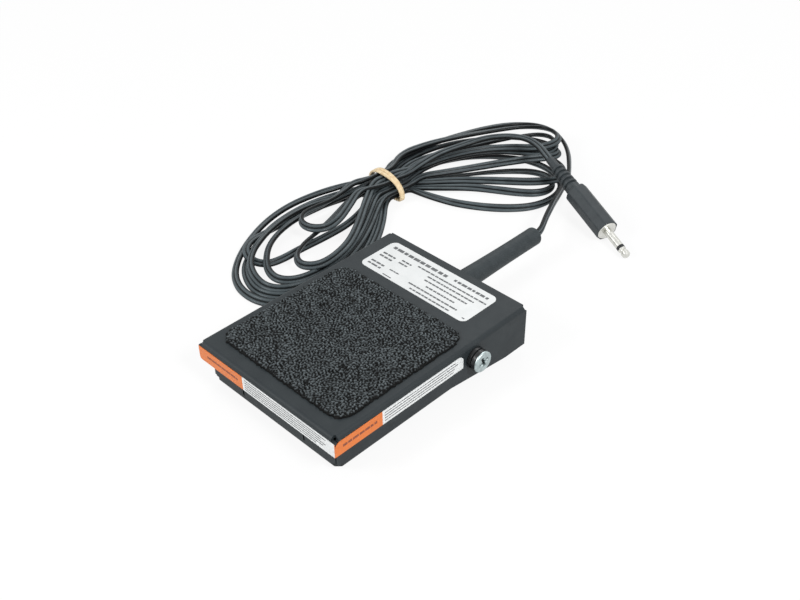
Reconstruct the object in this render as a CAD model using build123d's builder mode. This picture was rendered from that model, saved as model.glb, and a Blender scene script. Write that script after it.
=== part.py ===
from build123d import *
from math import cos, pi, radians, sin, tan
import os

# Low-profile foot switch: a folded steel treadle hinged on a folded steel tray, with a snap switch
# inside and a light two-core cord that ends in a jack plug.
# X is to the right, Y to the rear, Z up. The origin is on the floor under the middle of the treadle.
os.makedirs("parts", exist_ok=True)

# Driving dimensions of the body, in millimetres
WIDTH = 70.0                # across the treadle's side skirts
LENGTH = 93.6               # from the front skirt to the treadle's rear edge
STEEL_HEIGHT = 18.2         # from the tray's underside to the treadle's top
SHEET = 1.2                 # thickness of both folded sheets
BEND_INSIDE = 0.5           # inside radius of every fold
BASE_PAD_THICK = 1.5        # rubber sheet under the tray
BASE_PAD_INSET = 2.6
BASE_PAD_CORNER = 4.0
TRAVEL_DEG = 4.0            # how far the treadle tips forward

# Treadle skirts
FRONT_SKIRT_DROP = 7.8      # from the treadle's top to the front skirt's lower edge
SIDE_EDGE_REAR = 1.0        # height of the side skirts' lower edge at the rear, above the tray's underside
SIDE_SLOPE_START = 8.8      # where the side skirts' lower edge starts to slope down, behind the front
SIDE_SLOPE_END = 10.8       # where the slope ends, before the rear edge
FRONT_CORNER_CUT = 1.9      # open corner between two folds at the front
REAR_CORNER_CUT = 0.9       # the same at the rear
SKIRT_SEAM = 0.3            # slit between the front skirt and each side skirt

# Tray
TRAY_SIDE_INSET = 2.6       # tray wall behind the treadle's side face
TRAY_FRONT_INSET = 3.0
TRAY_REAR_INSET = 2.4
TRAY_CORNER_CUT = 2.4
STOP_GAP = 0.12             # gap left at each of the treadle's two stops
STOP_TAB_WIDTH = 30.8       # middle tab of the tray's front wall, between two slits
SLIT = 0.8
SLIT_FOOT = 1.6             # steel left under each slit

# Pivot
PIVOT_SETBACK = 27.9        # from the treadle's rear edge
PIVOT_DROP = 6.4            # from the treadle's top
BUSHING_R = 3.2             # sleeve that carries the treadle
RUN_CLEARANCE = 0.08        # radial clearance of every running fit
BUSHING_COLLAR_R = 4.2
BUSHING_STAND_OFF = 3.3     # collar's length outside the side skirt
BUSHING_GROOVE = 0.6
FACE_GAP = 0.15             # between the collar and the skirt
SCREW_R = 2.0
SCREW_HEAD_R = 4.4
SCREW_HEAD_THICK = 1.6
SCREW_RIM = 0.5             # straight edge under the head's crown
CROSS_REACH = 2.1           # each arm of the cross recess
CROSS_WIDTH = 0.9
CROSS_DEPTH = 1.1
CROSS_TAPER = 12
NUT_FLATS = 7.0
NUT_THICK = 2.4
SCREW_TAIL = 1.0            # screw end past the nut

# Surfaces stuck on the treadle
TREAD_PAD_X = 62.8
TREAD_PAD_FRONT_GAP = 5.8   # from the treadle's front
TREAD_PAD_REAR_GAP = 4.8    # between the mat and the label behind it
TREAD_PAD_THICK = 1.4
TREAD_PAD_CORNER = 6.5
LABEL_THICK = 0.15
RATING_LABEL_X = 53.2
RATING_LABEL_Y = 19.2
RATING_LABEL_OFFSET_X = -1.7
RATING_LABEL_REAR_GAP = 3.6  # from the treadle's rear edge
RATING_LABEL_CORNER = 2.6
WRAP_LABEL_HEIGHT = 5.8
WRAP_LABEL_END_GAP = 5.9    # from the strip's rounded end to the pivot's axis
WRAP_LABEL_CORNER = 1.2     # the strip's lower corner at the left
WRAP_LABEL_END_R = 2.4

# Snap switch
STRIKER_ARM = 20.0          # from the pivot to the switch's plunger
CASE_X = 19.8
CASE_Y = 6.4
CASE_HEIGHT = 9.4
CASE_CORNER = 0.5
COVER_THICK = 1.4
PLUNGER_OFFSET_X = 2.4      # plunger beside the case's middle
PLUNGER_X = 2.8
PLUNGER_Y = 1.8
PLUNGER_RISE = 1.7
PLUNGER_DEPTH = 2.4         # length inside the case
PLUNGER_CLEARANCE = 0.1
STRIKER_GAP = 0.2           # free travel before the plunger moves
STRIKER_R = 2.4
STRIKER_TALL = 1.3          # below the treadle's underside
BOSS_BEVEL = 0.3
SWITCH_HOLE_PITCH = 9.5
SWITCH_HOLE_R = 1.2
SWITCH_HOLE_HEIGHT = 2.9    # above the case's bottom
BRACKET_THICK = 1.0
BRACKET_X = 16.0
BRACKET_FOOT = 8.0
BRACKET_RIVET_PITCH = 11.0
RIVET_R = 1.4
RIVET_HEAD_R = 2.3
RIVET_HEAD_THICK = 0.9
FIT_GAP = 0.05              # radial gap of fixed screws and rivets
SWITCH_NUT_FLATS = 4.0
SWITCH_NUT_THICK = 1.6
SWITCH_SCREW_TAIL = 0.6
TERMINAL_PITCH = 8.8
TERMINAL_WIDTH = 3.2
TERMINAL_THICK = 0.5
TERMINAL_DROP = 0.9
TERMINAL_REACH = 4.4
LEAD_WIRE_R = 0.7
LEAD_WIRE_GAP = 0.9         # each lead beside the strain relief's middle

# Return spring
SPRING_SETBACK = 15.8       # from the treadle's front
SPRING_R = 4.2              # mean coil radius
SPRING_WIRE_R = 0.45
SPRING_TURNS = 5
SPRING_POST_R = 3.2
SPRING_POST_TALL = 4.0
SPRING_CAP_TALL = 3.0
SPRING_END_GAP = 0.05

# Strain relief, a tapered sleeve moulded on the cord
RELIEF_LENGTH = 50.6        # outside the tray's rear wall
RELIEF_BASE_R = 4.5
RELIEF_FLARE = 22.0         # length of the flare at the wall
RELIEF_WAIST_R = 3.9        # at the end of the flare
RELIEF_TIP_R = 3.8
RELIEF_TIP_ROUND = 1.1
RELIEF_HEIGHT = 9.0         # above the tray's underside
RELIEF_NECK_R = 3.4
RELIEF_FLANGE_R = 4.6
RELIEF_FLANGE_THICK = 2.0
RELIEF_LIP_GAP = 0.1        # between each shoulder and the wall

# Cord and plug
CORD_R = 1.5                # plain round stand-in for the flat two-core cord
CORD_FIRST_RUN = 3.5        # straight length out of the sleeve and out of the boot
ARC_SHARE = 0.45            # share of the shorter run that an arc takes at each corner
PLUG_TIP = (29.1, 119.4, 1.8)
PLUG_HEADING_DEG = 161.5    # from the tip towards the boot, seen from above
PLUG_TILT_DEG = 13.5        # rise towards the boot
PIN_R = 1.75
PIN_LENGTH = 15.0
TIP_LENGTH = 4.0
TIP_BEVEL = 0.65
TIP_POINT_R = 1.1
TIP_NECK_R = 1.25
TIP_RIM = 0.3               # full radius behind the neck
INSULATOR_LENGTH = 1.5
PIN_CORE_R = 0.9
PIN_CORE_REACH = 3.0        # core inside the sleeve
PIN_SHOULDER_GAP = 0.1      # between the pin's full radius and the collar
SLEEVE_ROOT = 5.0           # sleeve inside the handle
SLEEVE_ROOT_R = 1.5
HANDLE_R = 5.15             # to the corners between the flats, before they are rounded
HANDLE_LENGTH = 25.0
HANDLE_FLATS = 8
HANDLE_EDGE_R = 1.6
HANDLE_FRONT_ROUND = 0.3
HANDLE_REAR_ROUND = 1.2
HANDLE_RIM = 0.45           # wall of the handle round the collar
HANDLE_WAIST_R = 3.3
HANDLE_WAIST_LENGTH = 2.6
COLLAR_THICK = 1.4
COLLAR_PROUD = 0.3
BOOT_RIBS = 5
BOOT_RIB_PITCH = 2.5
BOOT_RIB_R = 3.3
BOOT_GROOVE_R = 2.5
BOOT_RIB_STEP = 0.12        # each rib is this much smaller than the one before
BOOT_TAIL_LENGTH = 6.0
BOOT_TAIL_R = 1.9

# Bundle of cord
BAND_WIDTH = 3.0
BAND_THICK = 1.2
BAND_CROSS_DEG = 7.0
BAND_FLOOR_GAP = 0.05
TIE_POINT = (-78.5, 87.5)
TIE_WIDTH = 20.0
TIE_ARCH = 20.0             # how far the bundle's underside rises to the band, on each side of it
TIE_HEIGHT = 10.0
TIE_CORNER = 3.5
BUNDLE_HEADING_DEG = 84.0   # direction of the bundle where the band holds it
BUNDLE_OUTLINE = [
    (-61, -6), (-80, 3), (-95, 22), (-101, 44), (-97, 64), (-88.5, 86), (-90, 104), (-91, 124),
    (-87, 145), (-77, 166), (-64, 177), (-46, 173), (-31, 160), (-20, 144), (-17, 127),
    (-33, 105), (-54, 95), (-68.5, 86), (-58, 70), (-49, 50), (-45.5, 28), (-49, 4),
]
BUNDLE_TOP = [
    (-20, 2.0), (8, 5.0), (45, 9.0), (72, 10.2), (88, 11.2),
    (104, 11.2), (130, 10.2), (160, 8.4), (190, 4.0),
]
BUNDLE_OPENINGS = [  # between the turns, in front of the band and behind it
    [(-72, 66), (-80, 50), (-80, 30), (-72, 14), (-62, 12), (-56, 24), (-57, 44), (-65, 60)],
    [(-58, 116), (-58, 128), (-50, 141), (-40, 147), (-33.5, 141), (-40, 129), (-50, 118)],
]

# Levels and places that follow from the sizes above
TRAY_Z = BASE_PAD_THICK
FLOOR_Z = TRAY_Z + SHEET
TOP_Z = TRAY_Z + STEEL_HEIGHT
UNDER_Z = TOP_Z - SHEET
FRONT_Y = -LENGTH / 2
REAR_Y = LENGTH / 2
SIDE_X = WIDTH / 2
BEND_OUTSIDE = BEND_INSIDE + SHEET
SKIRT_FRONT_Z = TOP_Z - FRONT_SKIRT_DROP
SKIRT_REAR_Z = TRAY_Z + SIDE_EDGE_REAR
PIVOT_Y = REAR_Y - PIVOT_SETBACK
PIVOT_Z = TOP_Z - PIVOT_DROP
TRAY_SIDE_X = SIDE_X - TRAY_SIDE_INSET
TRAY_FRONT_Y = FRONT_Y + TRAY_FRONT_INSET
TRAY_REAR_Y = REAR_Y - TRAY_REAR_INSET
TRAY_REAR_Z = UNDER_Z - STOP_GAP
FRONT_DROP = (PIVOT_Y - TRAY_FRONT_Y) * sin(radians(TRAVEL_DEG))
TRAY_FRONT_Z = UNDER_Z - FRONT_DROP - STOP_GAP
RATING_LABEL_CENTRE_Y = REAR_Y - RATING_LABEL_REAR_GAP - RATING_LABEL_Y / 2
TREAD_PAD_FRONT_Y = FRONT_Y + TREAD_PAD_FRONT_GAP
TREAD_PAD_REAR_Y = RATING_LABEL_CENTRE_Y - RATING_LABEL_Y / 2 - TREAD_PAD_REAR_GAP
WRAP_LABEL_REAR_Y = PIVOT_Y - WRAP_LABEL_END_GAP
SPRING_Y = FRONT_Y + SPRING_SETBACK
PLUNGER_CENTRE_Y = PIVOT_Y - STRIKER_ARM
PLUNGER_TOP_Z = UNDER_Z - STRIKER_TALL - STRIKER_GAP
CASE_CENTRE_X = -PLUNGER_OFFSET_X
CASE_TOP_Z = PLUNGER_TOP_Z - PLUNGER_RISE
CASE_BOTTOM_Z = CASE_TOP_Z - CASE_HEIGHT
CASE_FRONT_Y = PLUNGER_CENTRE_Y - CASE_Y / 2
COVER_FACE_Y = CASE_FRONT_Y + CASE_Y
SWITCH_HOLE_Z = CASE_BOTTOM_Z + SWITCH_HOLE_HEIGHT
RELIEF_Z = TRAY_Z + RELIEF_HEIGHT
RELIEF_END_Y = TRAY_REAR_Y + RELIEF_LENGTH
PLUG_RISE = radians(PLUG_TILT_DEG)
PLUG_HEADING = radians(PLUG_HEADING_DEG)
PLUG_AXIS = Vector(
    cos(PLUG_RISE) * cos(PLUG_HEADING),
    cos(PLUG_RISE) * sin(PLUG_HEADING),
    sin(PLUG_RISE),
)
PLUG_SIDE = Vector(-sin(PLUG_HEADING), cos(PLUG_HEADING), 0)
COLLAR_R = HANDLE_R * cos(pi / HANDLE_FLATS) - HANDLE_RIM


def finish(piece, name):
    """Labels a finished piece and writes it as one STEP file."""
    piece.part.label = name
    export_step(piece.part, f"parts/{name}.step")


# Treadle: top plate with a front skirt and two side skirts, folded from one sheet
with BuildPart() as treadle:
    with BuildSketch(Plane.XY.offset(TRAY_Z)):
        Rectangle(WIDTH, LENGTH)
    extrude(amount=STEEL_HEIGHT)
    rims = treadle.edges().group_by(Axis.Z)[-1]
    fillet(rims.filter_by(Axis.Y) + rims.filter_by(Axis.X).sort_by(Axis.Y)[:1], BEND_OUTSIDE)
    with BuildPart(mode=Mode.SUBTRACT):
        with BuildSketch(Plane.XY.offset(TRAY_Z - SHEET)):
            with Locations((0, SHEET)):
                Rectangle(WIDTH - 2 * SHEET, LENGTH)
        hollow = extrude(amount=STEEL_HEIGHT)
        inner_rims = hollow.edges().group_by(Axis.Z)[-1]
        fillet(inner_rims.filter_by(Axis.Y) + inner_rims.filter_by(Axis.X).sort_by(Axis.Y)[:1], BEND_INSIDE)
    with BuildSketch(Plane.YZ):
        with BuildLine():
            Polyline(
                (FRONT_Y - SHEET, SKIRT_FRONT_Z),
                (FRONT_Y + SIDE_SLOPE_START, SKIRT_FRONT_Z),
                (REAR_Y - SIDE_SLOPE_END, SKIRT_REAR_Z),
                (REAR_Y + SHEET, SKIRT_REAR_Z),
                (REAR_Y + SHEET, 0),
                (FRONT_Y - SHEET, 0),
                close=True,
            )
        make_face()
    extrude(amount=WIDTH, both=True, mode=Mode.SUBTRACT)
    for side in (-1, 1):
        seam_x = side * (SIDE_X - SHEET / 2)
        with Locations((seam_x, FRONT_Y + SHEET + SKIRT_SEAM / 2, 0)):
            Box(
                SHEET + 2 * BEND_INSIDE,
                SKIRT_SEAM,
                TOP_Z - BEND_OUTSIDE,
                align=(Align.CENTER, Align.CENTER, Align.MIN),
                mode=Mode.SUBTRACT,
            )
        for end_y, cut in ((FRONT_Y, FRONT_CORNER_CUT), (REAR_Y, REAR_CORNER_CUT)):
            with Locations((side * SIDE_X, end_y, TOP_Z)):
                Box(2 * BEND_OUTSIDE, 2 * cut, 2 * BEND_OUTSIDE, mode=Mode.SUBTRACT)
    with BuildSketch(Plane.YZ):
        with Locations((PIVOT_Y, PIVOT_Z)):
            Circle(BUSHING_R + RUN_CLEARANCE)
    extrude(amount=WIDTH, both=True, mode=Mode.SUBTRACT)
    for rivet_x, rivet_y in ((0, SPRING_Y), (0, PLUNGER_CENTRE_Y)):
        with Locations((rivet_x, rivet_y, TOP_Z)):
            Hole(RIVET_R + FIT_GAP, depth=SHEET)
finish(treadle, "treadle")

# Tray: floor with four low walls, their tops sloped to let the treadle tip
with BuildPart() as base_tray:
    with BuildSketch(Plane.XY.offset(TRAY_Z)):
        with Locations((0, (TRAY_FRONT_Y + TRAY_REAR_Y) / 2)):
            Rectangle(2 * TRAY_SIDE_X, TRAY_REAR_Y - TRAY_FRONT_Y)
    extrude(amount=TRAY_REAR_Z - TRAY_Z)
    fillet(base_tray.edges().group_by(Axis.Z)[0], BEND_OUTSIDE)
    with BuildPart(mode=Mode.SUBTRACT):
        with BuildSketch(Plane.XY.offset(FLOOR_Z)):
            with Locations((0, (TRAY_FRONT_Y + TRAY_REAR_Y) / 2)):
                Rectangle(2 * (TRAY_SIDE_X - SHEET), TRAY_REAR_Y - TRAY_FRONT_Y - 2 * SHEET)
        tray_hollow = extrude(amount=STEEL_HEIGHT)
        fillet(tray_hollow.edges().group_by(Axis.Z)[0], BEND_INSIDE)
    with BuildSketch(Plane.YZ):
        with BuildLine():
            Polyline(
                (FRONT_Y, TRAY_FRONT_Z),
                (TRAY_FRONT_Y, TRAY_FRONT_Z),
                (PIVOT_Y, TRAY_REAR_Z),
                (PIVOT_Y, TOP_Z),
                (FRONT_Y, TOP_Z),
                close=True,
            )
        make_face()
    extrude(amount=WIDTH, both=True, mode=Mode.SUBTRACT)
    for corner_x in (-TRAY_SIDE_X, TRAY_SIDE_X):
        for corner_y in (TRAY_FRONT_Y, TRAY_REAR_Y):
            with Locations((corner_x, corner_y, TRAY_Z)):
                Cylinder(TRAY_CORNER_CUT, 2 * TRAY_CORNER_CUT, mode=Mode.SUBTRACT)
            with Locations((corner_x, corner_y, TRAY_Z)):
                Box(2 * SHEET, 2 * SKIRT_SEAM, 2 * STEEL_HEIGHT, mode=Mode.SUBTRACT)
    slit_x = (STOP_TAB_WIDTH + SLIT) / 2
    with BuildSketch(Plane.XZ.offset(-TRAY_FRONT_Y)):
        with Locations((-slit_x, FLOOR_Z + SLIT_FOOT), (slit_x, FLOOR_Z + SLIT_FOOT)):
            Rectangle(SLIT, STEEL_HEIGHT, align=(Align.CENTER, Align.MIN))
    extrude(amount=2 * SHEET, both=True, mode=Mode.SUBTRACT)
    with BuildSketch(Plane.YZ):
        with Locations((PIVOT_Y, PIVOT_Z)):
            Circle(SCREW_R + FIT_GAP)
    extrude(amount=WIDTH, both=True, mode=Mode.SUBTRACT)
    with BuildSketch(Plane.XZ.offset(-TRAY_REAR_Y)):
        with Locations((0, RELIEF_Z)):
            Circle(RELIEF_NECK_R + FIT_GAP)
    extrude(amount=2 * SHEET, both=True, mode=Mode.SUBTRACT)
    rivet_row_y = CASE_FRONT_Y - BRACKET_THICK - BRACKET_FOOT / 2
    for rivet_x, rivet_y in (
        (CASE_CENTRE_X - BRACKET_RIVET_PITCH / 2, rivet_row_y),
        (CASE_CENTRE_X + BRACKET_RIVET_PITCH / 2, rivet_row_y),
        (0, SPRING_Y),
    ):
        with Locations((rivet_x, rivet_y, FLOOR_Z)):
            Hole(RIVET_R + FIT_GAP, depth=SHEET)
finish(base_tray, "base_tray")

# Rubber sheet under the tray
with BuildPart() as base_pad:
    with BuildSketch():
        with Locations((0, (TRAY_FRONT_Y + TRAY_REAR_Y) / 2)):
            RectangleRounded(
                2 * (TRAY_SIDE_X - BASE_PAD_INSET),
                TRAY_REAR_Y - TRAY_FRONT_Y - 2 * BASE_PAD_INSET,
                BASE_PAD_CORNER,
            )
    extrude(amount=BASE_PAD_THICK)
finish(base_pad, "base_pad")

# Coarse grip mat on the treadle
with BuildPart() as tread_pad:
    with BuildSketch(Plane.XY.offset(TOP_Z)):
        with Locations((0, (TREAD_PAD_FRONT_Y + TREAD_PAD_REAR_Y) / 2)):
            RectangleRounded(TREAD_PAD_X, TREAD_PAD_REAR_Y - TREAD_PAD_FRONT_Y, TREAD_PAD_CORNER)
    extrude(amount=TREAD_PAD_THICK)
finish(tread_pad, "tread_pad")

# Plate label behind the grip mat
with BuildPart() as rating_label:
    with BuildSketch(Plane.XY.offset(TOP_Z)):
        with Locations((RATING_LABEL_OFFSET_X, RATING_LABEL_CENTRE_Y)):
            RectangleRounded(RATING_LABEL_X, RATING_LABEL_Y, RATING_LABEL_CORNER)
    extrude(amount=LABEL_THICK)
finish(rating_label, "rating_label")

# Strip label that runs across the front skirt and round the right corner
with BuildPart() as wrap_label:
    with BuildSketch(Plane.XZ.offset(-FRONT_Y)):
        with Locations((-SIDE_X, SKIRT_FRONT_Z)):
            Rectangle(WIDTH + LABEL_THICK, WRAP_LABEL_HEIGHT, align=Align.MIN)
        fillet(vertices().group_by(Axis.X)[0].sort_by(Axis.Z)[:1], WRAP_LABEL_CORNER)
    extrude(amount=LABEL_THICK)
    with BuildSketch(Plane.YZ.offset(SIDE_X)):
        with Locations((FRONT_Y, SKIRT_FRONT_Z)):
            Rectangle(WRAP_LABEL_REAR_Y - FRONT_Y, WRAP_LABEL_HEIGHT, align=Align.MIN)
        fillet(vertices().group_by(Axis.Y)[-1], WRAP_LABEL_END_R)
    extrude(amount=LABEL_THICK)
finish(wrap_label, "wrap_label")


# Rivets that hold the spring and push the switch, their shanks flush in the treadle
def treadle_rivet(name, place_y, radius, tall):
    """Makes a round boss under the treadle with its shank in the treadle's hole."""
    with BuildPart() as rivet:
        with BuildSketch(Plane.XY.offset(UNDER_Z)):
            with Locations((0, place_y)):
                Circle(radius)
        extrude(amount=-tall)
        chamfer(rivet.edges().group_by(Axis.Z)[0], BOSS_BEVEL)
        with BuildSketch(Plane.XY.offset(UNDER_Z)):
            with Locations((0, place_y)):
                Circle(RIVET_R)
        extrude(amount=SHEET)
    finish(rivet, name)


treadle_rivet("striker", PLUNGER_CENTRE_Y, STRIKER_R, STRIKER_TALL)
treadle_rivet("spring_cap", SPRING_Y, SPRING_POST_R, SPRING_CAP_TALL)

# Post on the tray that holds the spring's foot
with BuildPart() as spring_post:
    with BuildSketch(Plane.XY.offset(FLOOR_Z)):
        with Locations((0, SPRING_Y)):
            Circle(SPRING_POST_R)
    extrude(amount=SPRING_POST_TALL)
    chamfer(spring_post.edges().group_by(Axis.Z)[-1], BOSS_BEVEL)
    with BuildSketch(Plane.XY.offset(FLOOR_Z)):
        with Locations((0, SPRING_Y)):
            Circle(RIVET_R)
    extrude(amount=-SHEET)
finish(spring_post, "spring_post")

# Return spring, standing between the tray and the treadle
SPRING_SPAN = UNDER_Z - FLOOR_Z - 2 * (SPRING_WIRE_R + SPRING_END_GAP)
with BuildPart() as return_spring:
    with BuildLine() as coil:
        Helix(
            pitch=SPRING_SPAN / SPRING_TURNS,
            height=SPRING_SPAN,
            radius=SPRING_R,
            center=(0, SPRING_Y, FLOOR_Z + SPRING_WIRE_R + SPRING_END_GAP),
        )
    with BuildSketch(Plane(origin=coil.line @ 0, z_dir=coil.line % 0)):
        Circle(SPRING_WIRE_R)
    sweep(is_frenet=True)
finish(return_spring, "return_spring")

# Pivot on each side: a bushing clamped to the tray by a pan-head screw and its nut
for name, side in (("left", -1), ("right", 1)):
    wall = Plane(origin=(side * TRAY_SIDE_X, PIVOT_Y, PIVOT_Z), x_dir=(0, 1, 0), z_dir=(side, 0, 0))
    skirt_face = TRAY_SIDE_INSET + FACE_GAP
    head_face = skirt_face + BUSHING_STAND_OFF
    with BuildPart() as pivot_bushing:
        with BuildSketch(wall):
            Circle(BUSHING_R)
        extrude(amount=head_face)
        with BuildSketch(wall.offset(skirt_face)):
            Circle(BUSHING_COLLAR_R)
        extrude(amount=BUSHING_STAND_OFF)
        with BuildSketch(wall.offset(skirt_face + (BUSHING_STAND_OFF - BUSHING_GROOVE) / 2)):
            Circle(BUSHING_COLLAR_R)
            Circle(BUSHING_COLLAR_R - BUSHING_GROOVE, mode=Mode.SUBTRACT)
        extrude(amount=BUSHING_GROOVE, mode=Mode.SUBTRACT)
        with BuildSketch(wall):
            Circle(SCREW_R + FIT_GAP)
        extrude(amount=head_face, mode=Mode.SUBTRACT)
    finish(pivot_bushing, f"pivot_bushing_{name}")

    with BuildPart() as pivot_screw:
        with BuildSketch(wall.offset(head_face)):
            Circle(SCREW_HEAD_R)
        extrude(amount=SCREW_HEAD_THICK)
        crown = pivot_screw.edges().sort_by(Axis.X)[-1 if side > 0 else 0]
        fillet(crown, SCREW_HEAD_THICK - SCREW_RIM)
        with BuildSketch(wall.offset(head_face)):
            Circle(SCREW_R)
        extrude(amount=-(head_face + SHEET + NUT_THICK + SCREW_TAIL))
        with BuildSketch(wall.offset(head_face + SCREW_HEAD_THICK)):
            with PolarLocations(0, 2, angular_range=90, endpoint=False):
                Rectangle(2 * CROSS_REACH, CROSS_WIDTH)
        extrude(amount=-CROSS_DEPTH, taper=CROSS_TAPER, mode=Mode.SUBTRACT)
    finish(pivot_screw, f"pivot_screw_{name}")

    with BuildPart() as pivot_nut:
        with BuildSketch(wall.offset(-SHEET)):
            RegularPolygon(NUT_FLATS / 2, 6, major_radius=False)
            Circle(SCREW_R + FIT_GAP, mode=Mode.SUBTRACT)
        extrude(amount=-NUT_THICK)
    finish(pivot_nut, f"pivot_nut_{name}")

# Snap switch: case with the plunger's pocket, side cover, plunger and terminals
SWITCH_HOLES = [
    (CASE_CENTRE_X - SWITCH_HOLE_PITCH / 2, SWITCH_HOLE_Z),
    (CASE_CENTRE_X + SWITCH_HOLE_PITCH / 2, SWITCH_HOLE_Z),
]
PLUNGER_TRAVEL = STRIKER_ARM * radians(TRAVEL_DEG)


def case_outline(plane):
    """Draws the switch's side outline with its two mounting holes."""
    with BuildSketch(plane) as outline:
        with Locations((CASE_CENTRE_X, CASE_BOTTOM_Z + CASE_HEIGHT / 2)):
            RectangleRounded(CASE_X, CASE_HEIGHT, CASE_CORNER)
        with Locations(*SWITCH_HOLES):
            Circle(SWITCH_HOLE_R, mode=Mode.SUBTRACT)
    return outline.sketch


with BuildPart() as switch_case:
    extrude(case_outline(Plane.XZ.offset(-CASE_FRONT_Y)), amount=COVER_THICK - CASE_Y)
    with Locations((0, PLUNGER_CENTRE_Y, CASE_TOP_Z)):
        Box(
            PLUNGER_X + 2 * PLUNGER_CLEARANCE,
            PLUNGER_Y + 2 * PLUNGER_CLEARANCE,
            PLUNGER_DEPTH + PLUNGER_TRAVEL + STRIKER_GAP,
            align=(Align.CENTER, Align.CENTER, Align.MAX),
            mode=Mode.SUBTRACT,
        )
finish(switch_case, "switch_case")

with BuildPart() as switch_cover:
    extrude(case_outline(Plane.XZ.offset(COVER_THICK - COVER_FACE_Y)), amount=-COVER_THICK)
finish(switch_cover, "switch_cover")

with BuildPart() as switch_plunger:
    with Locations((0, PLUNGER_CENTRE_Y, PLUNGER_TOP_Z)):
        Box(
            PLUNGER_X,
            PLUNGER_Y,
            PLUNGER_RISE + PLUNGER_DEPTH,
            align=(Align.CENTER, Align.CENTER, Align.MAX),
        )
    fillet(switch_plunger.edges().group_by(Axis.Z)[-1].filter_by(Axis.Y), PLUNGER_Y / 4)
finish(switch_plunger, "switch_plunger")

BLADE_Z = CASE_BOTTOM_Z - TERMINAL_DROP
BLADE_END_Y = COVER_FACE_Y + TERMINAL_REACH
TERMINALS = (
    ("terminal_common", CASE_CENTRE_X - TERMINAL_PITCH),
    ("terminal_normally_closed", CASE_CENTRE_X),
    ("terminal_normally_open", CASE_CENTRE_X + TERMINAL_PITCH),
)
for name, terminal_x in TERMINALS:
    with BuildPart() as terminal:
        with BuildSketch(Plane.YZ.offset(terminal_x - TERMINAL_WIDTH / 2)):
            with Locations((PLUNGER_CENTRE_Y, BLADE_Z)):
                Rectangle(TERMINAL_THICK, TERMINAL_DROP, align=Align.MIN)
                Rectangle(BLADE_END_Y - PLUNGER_CENTRE_Y, TERMINAL_THICK, align=Align.MIN)
        extrude(amount=TERMINAL_WIDTH)
        with Locations((terminal_x, BLADE_END_Y - TERMINAL_WIDTH / 2, BLADE_Z + TERMINAL_THICK)):
            Hole(TERMINAL_THICK, depth=TERMINAL_THICK)
    finish(terminal, name)

# Bracket that holds the switch upright, with its rivets, screws and nuts
with BuildPart() as switch_bracket:
    with BuildSketch(Plane.YZ.offset(CASE_CENTRE_X - BRACKET_X / 2)):
        with Locations((CASE_FRONT_Y, FLOOR_Z)):
            Rectangle(BRACKET_THICK + BRACKET_FOOT, BRACKET_THICK, align=(Align.MAX, Align.MIN))
            Rectangle(
                BRACKET_THICK,
                SWITCH_HOLE_Z + SWITCH_HOLE_HEIGHT - FLOOR_Z,
                align=(Align.MAX, Align.MIN),
            )
        fillet(vertices().sort_by(Axis.Y)[-2:].sort_by(Axis.Z)[:1], BRACKET_THICK)
    extrude(amount=BRACKET_X)
    with BuildSketch(Plane.XZ.offset(-CASE_FRONT_Y)):
        with Locations(*SWITCH_HOLES):
            Circle(SWITCH_HOLE_R)
    extrude(amount=BRACKET_THICK, mode=Mode.SUBTRACT)
    with Locations((CASE_CENTRE_X, rivet_row_y, FLOOR_Z + BRACKET_THICK)):
        with GridLocations(BRACKET_RIVET_PITCH, 0, 2, 1):
            Hole(RIVET_R + FIT_GAP, depth=BRACKET_THICK)
finish(switch_bracket, "switch_bracket")

with BuildPart() as bracket_rivets:
    with BuildSketch(Plane.XY.offset(TRAY_Z)):
        with Locations((CASE_CENTRE_X, rivet_row_y)):
            with GridLocations(BRACKET_RIVET_PITCH, 0, 2, 1):
                Circle(RIVET_R)
    extrude(amount=SHEET + BRACKET_THICK)
    with BuildSketch(Plane.XY.offset(FLOOR_Z + BRACKET_THICK)):
        with Locations((CASE_CENTRE_X, rivet_row_y)):
            with GridLocations(BRACKET_RIVET_PITCH, 0, 2, 1):
                Circle(RIVET_HEAD_R)
    extrude(amount=RIVET_HEAD_THICK)
    fillet(bracket_rivets.edges().group_by(Axis.Z)[-1], RIVET_HEAD_THICK / 2)
finish(bracket_rivets, "bracket_rivets")

with BuildPart() as switch_screws:
    with BuildSketch(Plane.XZ.offset(-COVER_FACE_Y)):
        with Locations(*SWITCH_HOLES):
            Circle(RIVET_HEAD_R)
    extrude(amount=-RIVET_HEAD_THICK)
    fillet(switch_screws.edges().group_by(Axis.Y)[-1], RIVET_HEAD_THICK / 2)
    with BuildSketch(Plane.XZ.offset(-COVER_FACE_Y)):
        with Locations(*SWITCH_HOLES):
            Circle(SWITCH_HOLE_R - FIT_GAP)
    extrude(amount=CASE_Y + BRACKET_THICK + SWITCH_NUT_THICK + SWITCH_SCREW_TAIL)
finish(switch_screws, "switch_screws")

with BuildPart() as switch_nuts:
    with BuildSketch(Plane.XZ.offset(BRACKET_THICK - CASE_FRONT_Y)):
        with Locations(*SWITCH_HOLES):
            RegularPolygon(SWITCH_NUT_FLATS / 2, 6, major_radius=False)
            Circle(SWITCH_HOLE_R, mode=Mode.SUBTRACT)
    extrude(amount=SWITCH_NUT_THICK)
finish(switch_nuts, "switch_nuts")

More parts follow.
